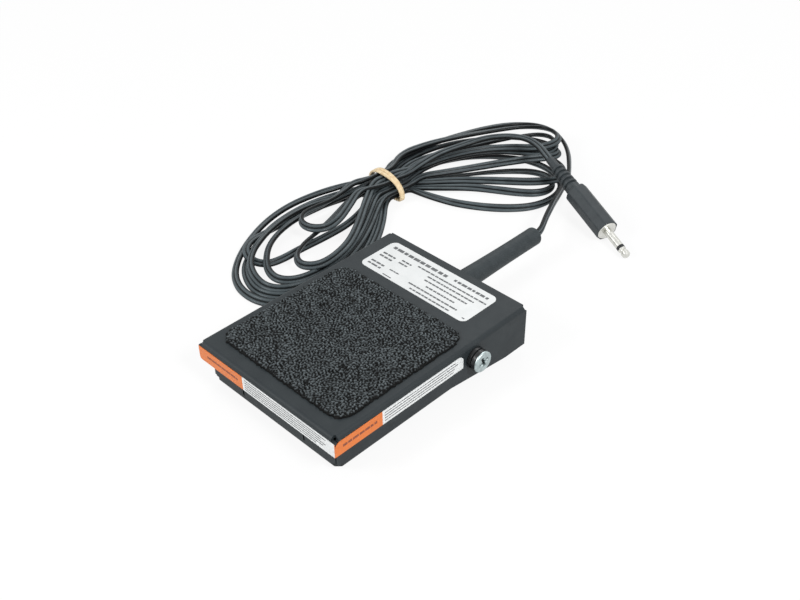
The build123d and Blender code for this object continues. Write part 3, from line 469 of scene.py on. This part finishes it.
# Grip mat: coarse looped surface with a soft round edge. Lengths are in millimetres
MAT_CELL = 0.26
MAT_MARGIN = 2
MAT_ROLL = 1.0
MAT_CORNER = 6.5
MAT_INSET = 0.3
FRINGE = 0.16
FRINGE_WAVE, FRINGE_SPREAD, FRINGE_SEED = 2.6, 0.5, 5
LOOP_WAVE, LOOP_SPREAD, LOOP_SEED = 2.2, 0.3, 11
KNOT_WAVE, KNOT_SPREAD, KNOT_SEED = 1.1, 0.3, 23
RELIEF_MIDDLE, RELIEF_TOP = 0.52, 1.15
LOOP_SHARE, KNOT_SHARE = 0.15, 0.27
MAT_SUNK = 0.7
MAT_HEIGHT = 0.9
STEEPEST = 0.3
MAT_LIFT = 0.01
mat_low, mat_high = (np.array(corner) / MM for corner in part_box("tread_pad"))


def grain(shape, wavelength, spread, seed):
    """Smooth random relief with features of about one wavelength, mean 0 and deviation 1."""
    noise = np.random.default_rng(seed).standard_normal(shape)
    fx = np.fft.fftfreq(shape[0], MAT_CELL)[:, None]
    fy = np.fft.fftfreq(shape[1], MAT_CELL)[None, :]
    rate = np.hypot(fx, fy)
    kept = np.exp(-((rate * wavelength - 1) / spread) ** 2 / 2)
    field = np.real(np.fft.ifft2(np.fft.fft2(noise) * kept))
    return field / field.std()


def mat_depth(x, y, half):
    """How far each place lies inside the mat's uneven outline."""
    fringe = FRINGE * grain(x.shape, FRINGE_WAVE, FRINGE_SPREAD, FRINGE_SEED)
    qx = np.abs(x) - half[0] + MAT_CORNER
    qy = np.abs(y) - half[1] + MAT_CORNER
    beyond = np.hypot(np.maximum(qx, 0), np.maximum(qy, 0))
    return MAT_CORNER - beyond - np.minimum(np.maximum(qx, qy), 0) - MAT_INSET + fringe


def mat_relief(shape):
    """Loops and knots of the mat's surface, from 0 deep to 1 high."""
    loops = 1 - 2 * np.abs(grain(shape, LOOP_WAVE, LOOP_SPREAD, LOOP_SEED))
    knots = grain(shape, KNOT_WAVE, KNOT_SPREAD, KNOT_SEED)
    return np.clip(RELIEF_MIDDLE + LOOP_SHARE * loops + KNOT_SHARE * knots, 0, RELIEF_TOP)


def mat_piece():
    """The mat's surface, its rim drawn in to the outline and set on the treadle."""
    middle = (mat_low + mat_high)[:2] / 2
    half = (mat_high - mat_low)[:2] / 2
    reach = half + MAT_MARGIN * MAT_CELL
    xs, ys = (np.linspace(-r, r, int(2 * h / MAT_CELL) + 2 * MAT_MARGIN + 1) for r, h in zip(reach, half))
    x, y = np.meshgrid(xs, ys, indexing="ij")
    depth = mat_depth(x, y, half)
    relief = mat_relief(x.shape)
    roll = np.sqrt(1 - (1 - np.clip(depth / MAT_ROLL, 0, 1)) ** 2)
    z = mat_low[2] + roll * (mat_high[2] - mat_low[2] - MAT_SUNK + MAT_HEIGHT * relief)
    outside = depth < 0
    gx, gy = np.gradient(depth, xs, ys)
    slope = np.maximum(np.hypot(gx, gy), STEEPEST) ** 2
    x = np.where(outside, x - gx / slope * depth, x)
    y = np.where(outside, y - gy / slope * depth, y)
    z = np.where(outside, mat_low[2] + MAT_LIFT, z)
    index = np.arange(x.size).reshape(x.shape)
    keep = ~(outside[:-1, :-1] & outside[1:, :-1] & outside[1:, 1:] & outside[:-1, 1:])
    corners = np.stack([index[:-1, :-1], index[1:, :-1], index[1:, 1:], index[:-1, 1:]], axis=-1)[keep]
    used, flat = np.unique(corners, return_inverse=True)
    places = np.stack([x + middle[0], y + middle[1], z], axis=-1).reshape(-1, 3)[used] * MM
    piece = mesh_piece("grip_mat", places, flat.reshape(-1, 4).tolist(), smooth=True)
    # Relief of the loops, falling to 0 at the rolled rim, for painted shade in the recesses and at the rim
    # and painted highlights on the loop tops
    mark_relief(piece, (relief * roll).reshape(-1)[used])
    return piece


grip_mat = mat_piece()
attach(grip_mat, "treadle")
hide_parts("tread_pad")

# Pivot screws with pan heads, and the low bushing at the left. Faces are distances from the middle
screw_low, screw_high = (np.array(corner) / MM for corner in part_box("pivot_screw_right"))
PIVOT = ((screw_low + screw_high) / 2)[1:]
SCREW_END = screw_low[0]
SKIRT_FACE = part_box("treadle")[1][0] / MM
LEFT_STAND, RIGHT_STAND = 0.55, 3.45
LEFT_FACE = SKIRT_FACE + LEFT_STAND
RIGHT_FACE = SKIRT_FACE + RIGHT_STAND
SHANK_R = 2.0
BORE_R = 2.05
SLEEVE_R = 3.2
SLEEVE_INSET = 4.6
SLEEVE_START = SCREW_END + SLEEVE_INSET
FLANGE_R = 4.2
FLANGE_GAP = 0.15
BEVEL = 0.1
CROSS_REACH = 2.2
CROSS_WIDTH = 0.95
CROSS_DEPTH = 1.2
CROSS_RISE = 0.4
CROSS_EDGE = 0.15
CROSS_TURN = math.radians(20)
FIRST_RING = 0.06
RING_STEP = 0.12
CROWN_ANGLES = (15, 35, 55, 75, 90)
TURNED_STEPS = 72
SHARP_ANGLE = math.radians(40)
NO_RECESS = 1e-6


def turned(name, outline, side, sink=None, closed=False):
    """A piece turned about the pivot's axis from its outline: distances from the middle, and radii."""
    out, radius = np.array(outline, float).T
    angles = np.linspace(0, 2 * math.pi, TURNED_STEPS, endpoint=False)
    u = radius[:, None] * np.cos(angles)
    v = radius[:, None] * np.sin(angles)
    sunk = sink(u, v) if sink else 0 * u
    places = np.stack([side * (out[:, None] - sunk), PIVOT[0] + u, PIVOT[1] + v], axis=-1)
    faces = ring_faces(len(outline), TURNED_STEPS, closed)
    piece = mesh_piece(name, places.reshape(-1, 3) * MM, faces, smooth=True)
    shape = bmesh.new()
    shape.from_mesh(piece.data)
    bmesh.ops.recalc_face_normals(shape, faces=shape.faces)
    shape.to_mesh(piece.data)
    shape.free()
    piece.data.set_sharp_from_angle(angle=SHARP_ANGLE)
    # 1 on a face that is not sunk, falling to 0 at the bottom of a cross recess, for painted shade in the
    # recess
    mark_relief(piece, (1 - sunk / max(sunk.max(), NO_RECESS)).reshape(-1))
    return piece


def cross_recess(u, v):
    """Depth of the cross recess at each place of a screw's head."""
    a = np.abs(u * math.cos(CROSS_TURN) + v * math.sin(CROSS_TURN))
    b = np.abs(v * math.cos(CROSS_TURN) - u * math.sin(CROSS_TURN))
    one = np.minimum(CROSS_WIDTH / 2 - a, CROSS_REACH - b)
    other = np.minimum(CROSS_WIDTH / 2 - b, CROSS_REACH - a)
    deep = CROSS_DEPTH * (1 - CROSS_RISE * np.hypot(u, v) / CROSS_REACH)
    return deep * np.clip(np.maximum(one, other) / CROSS_EDGE + 0.5, 0, 1)


def pan_screw(name, side, face, head_r, rim, crown):
    """A pan-head screw with a cross recess, its head seated at a distance from the middle."""
    outline = [(face + rim + crown, r) for r in np.arange(FIRST_RING, head_r - crown, RING_STEP)]
    for angle in CROWN_ANGLES:
        a = math.radians(angle)
        outline.append((face + rim + crown * math.cos(a), head_r - crown + crown * math.sin(a)))
    outline += [(face + BEVEL, head_r), (face, head_r - BEVEL), (face, SHANK_R), (SCREW_END, SHANK_R)]
    return turned(name, outline, side, cross_recess)


def low_bushing():
    """The left bushing: a sleeve through the walls, with a thin flange on the skirt."""
    seat = SKIRT_FACE + FLANGE_GAP
    return turned("pivot_bushing_low", [
        (SLEEVE_START, BORE_R), (SLEEVE_START, SLEEVE_R), (seat, SLEEVE_R), (seat, FLANGE_R - BEVEL),
        (seat + BEVEL, FLANGE_R), (LEFT_FACE - BEVEL, FLANGE_R), (LEFT_FACE, FLANGE_R - BEVEL),
        (LEFT_FACE, BORE_R),
    ], -1, closed=True)


screw_left = pan_screw("pivot_screw_low", -1, LEFT_FACE, head_r=3.6, rim=0.4, crown=0.6)
screw_right = pan_screw("pivot_screw_seen", 1, RIGHT_FACE, head_r=4.1, rim=0.35, crown=0.5)
bushing_left = low_bushing()
for piece, node, slot in (
    (screw_left, "pivot_screw_left", "zinc"), (screw_right, "pivot_screw_right", "zinc"),
    (bushing_left, "pivot_bushing_left", "nylon"),
):
    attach(piece, "base")
    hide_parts(node)

# Return spring
spring = bpy.data.objects.new("coil_spring", nodes["return_spring"].data.copy())
scene.collection.objects.link(spring)
spring_low, spring_high = (Vector(corner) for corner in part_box("return_spring"))
spring_foot = (spring_low + spring_high) / 2
spring_foot.z = spring_low.z
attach(spring, "base")
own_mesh(spring)
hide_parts("return_spring")

# Print on the labels, as rows of plain dashes with nothing to read
PRINT_LIFT = 0.02
SHORTEST_DASH = 0.4
DASH_SHARE = (0.45, 1.0)
GAP_SHARE = (0.22, 0.5)
LABEL_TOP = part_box("rating_label")[1][2] / MM
FRONT_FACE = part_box("wrap_label")[0][1] / MM
SIDE_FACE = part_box("wrap_label")[1][0] / MM
RATING_ROWS = [  # start and end along X, place along Y, height of the row, longest dash
    (-25.6, 2.2, 40.1, 1.5, 3.4), (5.6, 22.2, 40.4, 1.2, 2.6), (-10.2, 23.8, 37.4, 0.75, 2.4),
    (-3.2, 19.8, 35.2, 0.75, 2.2), (-2.6, 18.5, 32.9, 0.75, 2.2), (0.6, 14.7, 30.3, 0.75, 1.8),
    (-5.7, 18.4, 27.7, 0.75, 2.6), (-3.1, 16.5, 25.5, 0.75, 2.6), (22.5, 24.2, 25.9, 0.5, 1.6),
    (-26.3, -19.9, 35.0, 0.9, 3.0), (-26.3, -19.9, 33.0, 0.9, 2.4), (-17.3, -12.4, 36.0, 0.8, 2.2),
    (-17.3, -12.4, 34.2, 0.8, 3.0), (-26.3, -19.6, 28.6, 0.9, 2.6), (-26.3, -19.6, 26.7, 0.9, 3.2),
    (-16.6, -11.6, 28.7, 0.6, 1.8), (-16.7, -12.0, 25.0, 0.5, 6.0),
]
FRONT_ROWS = [  # start and end along X, height above the floor, height of the row, longest dash
    (-9.8, 31.0, 16.85, 0.36, 2.2), (-9.8, 28.6, 15.85, 0.36, 2.4), (-9.8, 31.4, 14.85, 0.36, 2.0),
    (-9.8, 30.0, 13.85, 0.36, 2.4), (-9.8, 26.4, 12.85, 0.36, 2.2),
]
SIDE_ROWS = [  # start and end along Y, height above the floor, height of the row, longest dash
    (-24.9, 9.2, 16.55, 0.4, 2.0), (-24.9, 10.2, 15.4, 0.4, 2.4), (-24.9, 8.6, 14.25, 0.4, 2.2),
    (-24.9, 8.0, 13.1, 0.4, 2.0),
]
ORANGE_FRONT_ROWS = [(-30.4, -13.6, 15.0, 0.9, 2.6)]
ORANGE_SIDE_ROWS = [(-43.4, -28.2, 15.0, 1.0, 2.6)]
# Where the orange ends of the strip stop: along X on its front, and along Y on its side
LABEL_SPLIT_X = -11.0
LABEL_SPLIT_Y = -25.9


def dashes(rows, seed):
    """Splits rows into dashes of uneven length: start, end, place and height of each."""
    lengths = np.random.default_rng(seed)
    made = []
    for start, end, place, tall, longest in rows:
        at = start
        while at < end - SHORTEST_DASH:
            stop = min(end, at + longest * lengths.uniform(*DASH_SHARE))
            made.append((at, stop, place, tall))
            at = stop + tall * lengths.uniform(*GAP_SHARE)
    return made


def on_top(u, v):
    return u, v, LABEL_TOP + PRINT_LIFT


def on_front(u, v):
    return u, FRONT_FACE - PRINT_LIFT, v


def on_side(u, v):
    return SIDE_FACE + PRINT_LIFT, u, v


def printed(name, sheets):
    """Flat dashes on the labels: rows, seed, and where a point of each sheet lies."""
    places, faces = [], []
    for rows, seed, stand in sheets:
        for at, stop, place, tall in dashes(rows, seed):
            low, high = place - tall / 2, place + tall / 2
            faces.append(tuple(range(len(places), len(places) + 4)))
            places += [stand(at, low), stand(stop, low), stand(stop, high), stand(at, high)]
    piece = mesh_piece(name, np.array(places) * MM, faces)
    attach(piece, "treadle")
    return piece


label_print = printed("label_print", (
    (RATING_ROWS, 3, on_top), (FRONT_ROWS, 7, on_front), (SIDE_ROWS, 9, on_side),
))
orange_print = printed("orange_print", (
    (ORANGE_FRONT_ROWS, 4, on_front), (ORANGE_SIDE_ROWS, 6, on_side),
))

# Finishes
TONE_FROM, TONE_TO = 0.3, 0.7
GLOSS_FINER = 3
NOISE_DETAIL = 3.0
BUMP_DETAIL = 2.0
# Tint of the shade and highlights painted from the relief attribute
PAINTED_LIGHT_TINT = (0.86, 1.0, 1.06)
SIDE_STRIP = 0.14
ORANGE = (0.62, 0.145, 0.012)
# Sockets of a colour mix, whose names are shared by its number, vector and colour kinds
MIX_SHARE, MIX_FIRST, MIX_SECOND, MIX_RESULT = 0, 6, 7, 2


def joined(tree, operation, first, second):
    """A maths node of two inputs, each a socket or a number."""
    node = tree.nodes.new("ShaderNodeMath")
    node.operation = operation
    for socket, value in zip(node.inputs, (first, second)):
        if isinstance(value, float):
            socket.default_value = value
        else:
            tree.links.new(value, socket)
    return node.outputs["Value"]


def mixed_colour(tree, blend_type, share, first, second):
    """A colour mix, whose share and second colour are each a socket or a constant."""
    node = tree.nodes.new("ShaderNodeMix")
    node.data_type = "RGBA"
    node.blend_type = blend_type
    tree.links.new(first, node.inputs[MIX_FIRST])
    for socket, value in ((node.inputs[MIX_SHARE], share), (node.inputs[MIX_SECOND], second)):
        if isinstance(value, (float, tuple)):
            socket.default_value = value
        else:
            tree.links.new(value, socket)
    return node.outputs[MIX_RESULT]


def finish_of(name, low, high, grain_mm, rough, bump_mm, bump_grain, metallic=0.0, specular=0.5):
    """A finish whose colour, gloss and relief vary with noise, its sizes in millimetres."""
    made = bpy.data.materials.new(name)
    made.use_nodes = True
    tree = made.node_tree
    shader = tree.nodes["Principled BSDF"]
    shader.inputs["Metallic"].default_value = metallic
    shader.inputs["Specular IOR Level"].default_value = specular
    place = tree.nodes.new("ShaderNodeTexCoord").outputs["Object"]

    def noise(size, detail=NOISE_DETAIL):
        node = tree.nodes.new("ShaderNodeTexNoise")
        node.inputs["Scale"].default_value = 1 / (size * MM)
        node.inputs["Detail"].default_value = detail
        tree.links.new(place, node.inputs["Vector"])
        return node.outputs["Fac"]

    ramp = tree.nodes.new("ShaderNodeValToRGB")
    for element, position, tone in zip(ramp.color_ramp.elements, (TONE_FROM, TONE_TO), (low, high)):
        element.position = position
        element.color = (*tone, 1)
    tree.links.new(noise(grain_mm), ramp.inputs["Fac"])
    tree.links.new(ramp.outputs["Color"], shader.inputs["Base Color"])
    gloss = tree.nodes.new("ShaderNodeMapRange")
    gloss.inputs["To Min"].default_value, gloss.inputs["To Max"].default_value = rough
    tree.links.new(noise(grain_mm / GLOSS_FINER), gloss.inputs["Value"])
    tree.links.new(gloss.outputs["Result"], shader.inputs["Roughness"])
    relief = tree.nodes.new("ShaderNodeBump")
    relief.inputs["Distance"].default_value = bump_mm * MM
    tree.links.new(noise(bump_grain, BUMP_DETAIL), relief.inputs["Height"])
    tree.links.new(relief.outputs["Normal"], shader.inputs["Normal"])
    return made


def tint_ends(material, color):
    """Prints the ends of the strip in a colour: the left of its front and the front of its side."""
    tree = material.node_tree
    base = tree.nodes["Principled BSDF"].inputs["Base Color"]
    split = tree.nodes.new("ShaderNodeSeparateXYZ")
    tree.links.new(tree.nodes.new("ShaderNodeTexCoord").outputs["Object"], split.inputs["Vector"])
    left = joined(tree, "LESS_THAN", split.outputs["X"], LABEL_SPLIT_X * MM)
    beside = joined(tree, "GREATER_THAN", split.outputs["X"], (SIDE_FACE - SIDE_STRIP) * MM)
    ahead = joined(tree, "LESS_THAN", split.outputs["Y"], LABEL_SPLIT_Y * MM)
    ends = joined(tree, "MAXIMUM", left, joined(tree, "MULTIPLY", beside, ahead))
    tinted = mixed_colour(tree, "MIX", ends, base.links[0].from_socket, (*color, 1))
    tree.links.new(tinted, base)


def paint_light_by_relief(material, deep, high):
    """Paints shade and highlights into a finish from its piece's relief attribute, darker towards the deep
    end and lighter towards the high: a place on the relief and a tone for each end.
    """
    tree = material.node_tree
    base = tree.nodes["Principled BSDF"].inputs["Base Color"]
    height = tree.nodes.new("ShaderNodeAttribute")
    height.attribute_name = "relief"
    ramp = tree.nodes.new("ShaderNodeValToRGB")
    for element, (position, tone) in zip(ramp.color_ramp.elements, (deep, high)):
        element.position = position
        element.color = (*(tone * tint for tint in PAINTED_LIGHT_TINT), 1)
    tree.links.new(height.outputs["Fac"], ramp.inputs["Fac"])
    toned = mixed_colour(tree, "MULTIPLY", 1.0, base.links[0].from_socket, ramp.outputs["Color"])
    tree.links.new(toned, base)


# Paint, vinyl and rubber
enamel = finish_of(
    "black_enamel", low=(0.017, 0.022, 0.025), high=(0.023, 0.029, 0.032), grain_mm=9, rough=(0.46, 0.58),
    bump_mm=0.02, bump_grain=0.55, specular=0.22,
)
vinyl = finish_of(
    "cord_vinyl", low=(0.036, 0.038, 0.039), high=(0.052, 0.055, 0.056), grain_mm=5, rough=(0.26, 0.36),
    bump_mm=0.012, bump_grain=0.4, specular=0.14,
)
# Painted highlights along the tops of the cord's two cores, and painted shade at its sides and in the groove
paint_light_by_relief(vinyl, deep=(0.5, 0.1), high=(1.0, 1.9))
relief_vinyl = finish_of(
    "relief_vinyl", low=(0.024, 0.031, 0.034), high=(0.034, 0.042, 0.046), grain_mm=3, rough=(0.5, 0.64),
    bump_mm=0.03, bump_grain=0.35, specular=0.25,
)
plug_vinyl = finish_of(
    "plug_vinyl", low=(0.026, 0.032, 0.036), high=(0.036, 0.044, 0.048), grain_mm=4, rough=(0.42, 0.54),
    bump_mm=0.025, bump_grain=0.35, specular=0.3,
)
lead_vinyl = finish_of(
    "lead_vinyl", low=(0.016, 0.016, 0.017), high=(0.028, 0.028, 0.03), grain_mm=2, rough=(0.4, 0.5),
    bump_mm=0.01, bump_grain=0.3,
)
tan_rubber = finish_of(
    "band_rubber", low=(0.62, 0.45, 0.25), high=(0.8, 0.66, 0.43), grain_mm=1.4, rough=(0.45, 0.6),
    bump_mm=0.04, bump_grain=0.5,
)
base_rubber = finish_of(
    "base_rubber", low=(0.016, 0.017, 0.018), high=(0.028, 0.03, 0.031), grain_mm=4, rough=(0.62, 0.8),
    bump_mm=0.06, bump_grain=0.5, specular=0.25,
)
mat_black = finish_of(
    "grip_mat", low=(0.07, 0.07, 0.07), high=(0.13, 0.13, 0.13), grain_mm=1.6, rough=(0.6, 0.8),
    bump_mm=0.1, bump_grain=0.3, specular=0.15,
)
# Painted shade in the mat's recesses and towards its rim, and painted highlights on the tops of its loops
paint_light_by_relief(mat_black, deep=(0.34, 0.01), high=(0.92, 1.2))

# Metals
zinc = finish_of(
    "zinc", low=(0.38, 0.38, 0.36), high=(0.56, 0.56, 0.53), grain_mm=1.2, rough=(0.34, 0.5),
    bump_mm=0.01, bump_grain=0.3, metallic=1.0,
)
# Zinc of the pivot screws, with painted shade in their cross recesses
recess_shaded_zinc = finish_of(
    "recess_shaded_zinc", low=(0.4, 0.4, 0.38), high=(0.58, 0.58, 0.55), grain_mm=1.2, rough=(0.34, 0.5),
    bump_mm=0.01, bump_grain=0.3, metallic=1.0,
)
paint_light_by_relief(recess_shaded_zinc, deep=(0.25, 0.12), high=(0.9, 1.0))
nickel = finish_of(
    "nickel", low=(0.6, 0.6, 0.56), high=(0.74, 0.74, 0.7), grain_mm=1.6, rough=(0.2, 0.32),
    bump_mm=0.006, bump_grain=0.3, metallic=1.0,
)
spring_steel = finish_of(
    "spring_steel", low=(0.42, 0.42, 0.43), high=(0.56, 0.56, 0.56), grain_mm=1.5, rough=(0.28, 0.4),
    bump_mm=0.01, bump_grain=0.3, metallic=1.0,
)
brass = finish_of(
    "brass", low=(0.62, 0.44, 0.18), high=(0.74, 0.56, 0.27), grain_mm=1.5, rough=(0.26, 0.4),
    bump_mm=0.008, bump_grain=0.3, metallic=1.0,
)

# Plastics
nylon = finish_of(
    "nylon", low=(0.012, 0.013, 0.014), high=(0.02, 0.021, 0.022), grain_mm=2, rough=(0.26, 0.4),
    bump_mm=0.01, bump_grain=0.3, specular=0.3,
)
switch_plastic = finish_of(
    "switch_plastic", low=(0.02, 0.02, 0.021), high=(0.034, 0.034, 0.035), grain_mm=3, rough=(0.42, 0.56),
    bump_mm=0.01, bump_grain=0.3,
)
plunger_plastic = finish_of(
    "plunger_plastic", low=(0.4, 0.03, 0.025), high=(0.5, 0.045, 0.035), grain_mm=1.2, rough=(0.34, 0.46),
    bump_mm=0.006, bump_grain=0.3,
)

# Labels and ink
label_film = finish_of(
    "label", low=(0.62, 0.64, 0.64), high=(0.67, 0.685, 0.685), grain_mm=5, rough=(0.34, 0.46),
    bump_mm=0.006, bump_grain=0.4,
)
wrap_film = finish_of(
    "wrap_label", low=(0.64, 0.66, 0.66), high=(0.69, 0.705, 0.705), grain_mm=5, rough=(0.34, 0.46),
    bump_mm=0.006, bump_grain=0.4,
)
tint_ends(wrap_film, ORANGE)
print_ink = finish_of(
    "print_ink", low=(0.06, 0.065, 0.07), high=(0.12, 0.125, 0.13), grain_mm=1.5, rough=(0.5, 0.6),
    bump_mm=0.005, bump_grain=0.3,
)
orange_ink = finish_of(
    "orange_ink", low=(0.16, 0.035, 0.012), high=(0.26, 0.06, 0.02), grain_mm=1.0, rough=(0.5, 0.6),
    bump_mm=0.005, bump_grain=0.3,
)

NODE_FINISHES = {
    enamel: ("treadle", "base_tray", "switch_bracket"),
    relief_vinyl: ("strain_relief",),
    plug_vinyl: ("plug_handle", "plug_boot"),
    nylon: ("pivot_bushing_left", "pivot_bushing_right", "plug_insulator", "spring_cap", "spring_post"),
    zinc: (
        "pivot_screw_left", "pivot_screw_right", "pivot_nut_left", "pivot_nut_right", "switch_screws",
        "switch_nuts", "bracket_rivets",
    ),
    nickel: ("plug_collar", "plug_sleeve", "plug_tip"),
    spring_steel: ("return_spring",),
    brass: ("terminal_common", "terminal_normally_closed", "terminal_normally_open"),
    switch_plastic: ("switch_case", "switch_cover", "striker"),
    plunger_plastic: ("switch_plunger",),
    base_rubber: ("base_pad",),
    lead_vinyl: ("lead_common", "lead_switched"),
    label_film: ("rating_label",),
    wrap_film: ("wrap_label",),
}
PIECE_FINISHES = (
    (cord, vinyl), (band, tan_rubber), (grip_mat, mat_black), (screw_left, recess_shaded_zinc),
    (screw_right, recess_shaded_zinc), (bushing_left, nylon), (spring, spring_steel), (label_print, print_ink),
    (orange_print, orange_ink),
)


def dress(piece, finish):
    """Gives a piece one finish, in place of what it has."""
    piece.data.materials.clear()
    piece.data.materials.append(finish)


for finish, names in NODE_FINISHES.items():
    for name in names:
        dress(nodes[name], finish)
for piece, finish in PIECE_FINISHES:
    dress(piece, finish)

# Floor, light and background
HALF_FLOOR = 4.0
PAPER = 0.9
PAPER_ROUGH = 0.9
PAPER_SPECULAR = 0.1
GLOW_SHARE = 0.88
SKY_LIGHT = 0.4
WHITE = (1, 1, 1, 1)
LAMP_AIM = (-0.01, 0.05, 0)
LAMPS = (  # name, place and size in metres, power in watts
    ("key", (0.65, -0.05, 0.62), 0.24, 5.5), ("fill", (-0.35, -0.75, 0.6), 0.35, 5.5),
    ("rim", (-0.4, 0.7, 0.8), 0.3, 2),
)


def camera_sees(tree):
    """1 for rays from the camera, from gloss and through glass, and 0 for the rest."""
    rays = tree.nodes.new("ShaderNodeLightPath").outputs
    seen = joined(tree, "MAXIMUM", rays["Is Camera Ray"], rays["Is Glossy Ray"])
    return joined(tree, "MAXIMUM", seen, rays["Is Transmission Ray"])


def show_mixed(tree, share, first, second, target):
    """Sends a mix of two shaders to the tree's output."""
    node = tree.nodes.new("ShaderNodeMixShader")
    tree.links.new(share, node.inputs["Fac"])
    tree.links.new(first, node.inputs[1])
    tree.links.new(second, node.inputs[2])
    tree.links.new(node.outputs["Shader"], tree.nodes[target].inputs["Surface"])


def paper_finish():
    """White paper that looks nearly as bright as the background and still takes the object's shadow."""
    paper = bpy.data.materials.new("paper")
    paper.use_nodes = True
    tree = paper.node_tree
    shade = tree.nodes["Principled BSDF"]
    shade.inputs["Base Color"].default_value = (PAPER, PAPER, PAPER, 1)
    shade.inputs["Roughness"].default_value = PAPER_ROUGH
    shade.inputs["Specular IOR Level"].default_value = PAPER_SPECULAR
    glow = tree.nodes.new("ShaderNodeEmission")
    share = joined(tree, "MULTIPLY", camera_sees(tree), GLOW_SHARE)
    show_mixed(tree, share, shade.outputs["BSDF"], glow.outputs["Emission"], "Material Output")
    return paper


def light_world():
    """Dim white light from all round, with a background that the camera sees as plain white."""
    world = bpy.data.worlds.new("world")
    world.use_nodes = True
    tree = world.node_tree
    light = tree.nodes["Background"]
    light.inputs["Color"].default_value = WHITE
    light.inputs["Strength"].default_value = SKY_LIGHT
    sky = tree.nodes.new("ShaderNodeBackground")
    sky.inputs["Color"].default_value = WHITE
    seen = camera_sees(tree)
    show_mixed(tree, seen, light.outputs["Background"], sky.outputs["Background"], "World Output")
    scene.world = world


def softbox(name, place, size, energy):
    """A square lamp that faces the middle of the object."""
    lamp = bpy.data.objects.new(name, bpy.data.lights.new(name, "AREA"))
    lamp.data.energy = energy
    lamp.data.size = size
    lamp.location = place
    lamp.rotation_euler = (Vector(place) - Vector(LAMP_AIM)).to_track_quat("Z", "Y").to_euler()
    scene.collection.objects.link(lamp)


floor = mesh_piece(
    "floor",
    [(x * HALF_FLOOR, y * HALF_FLOOR, 0) for x, y in ((-1, -1), (1, -1), (1, 1), (-1, 1))],
    [(0, 1, 2, 3)],
)
floor.data.materials.append(paper_finish())
light_world()
for lamp_values in LAMPS:
    softbox(*lamp_values)
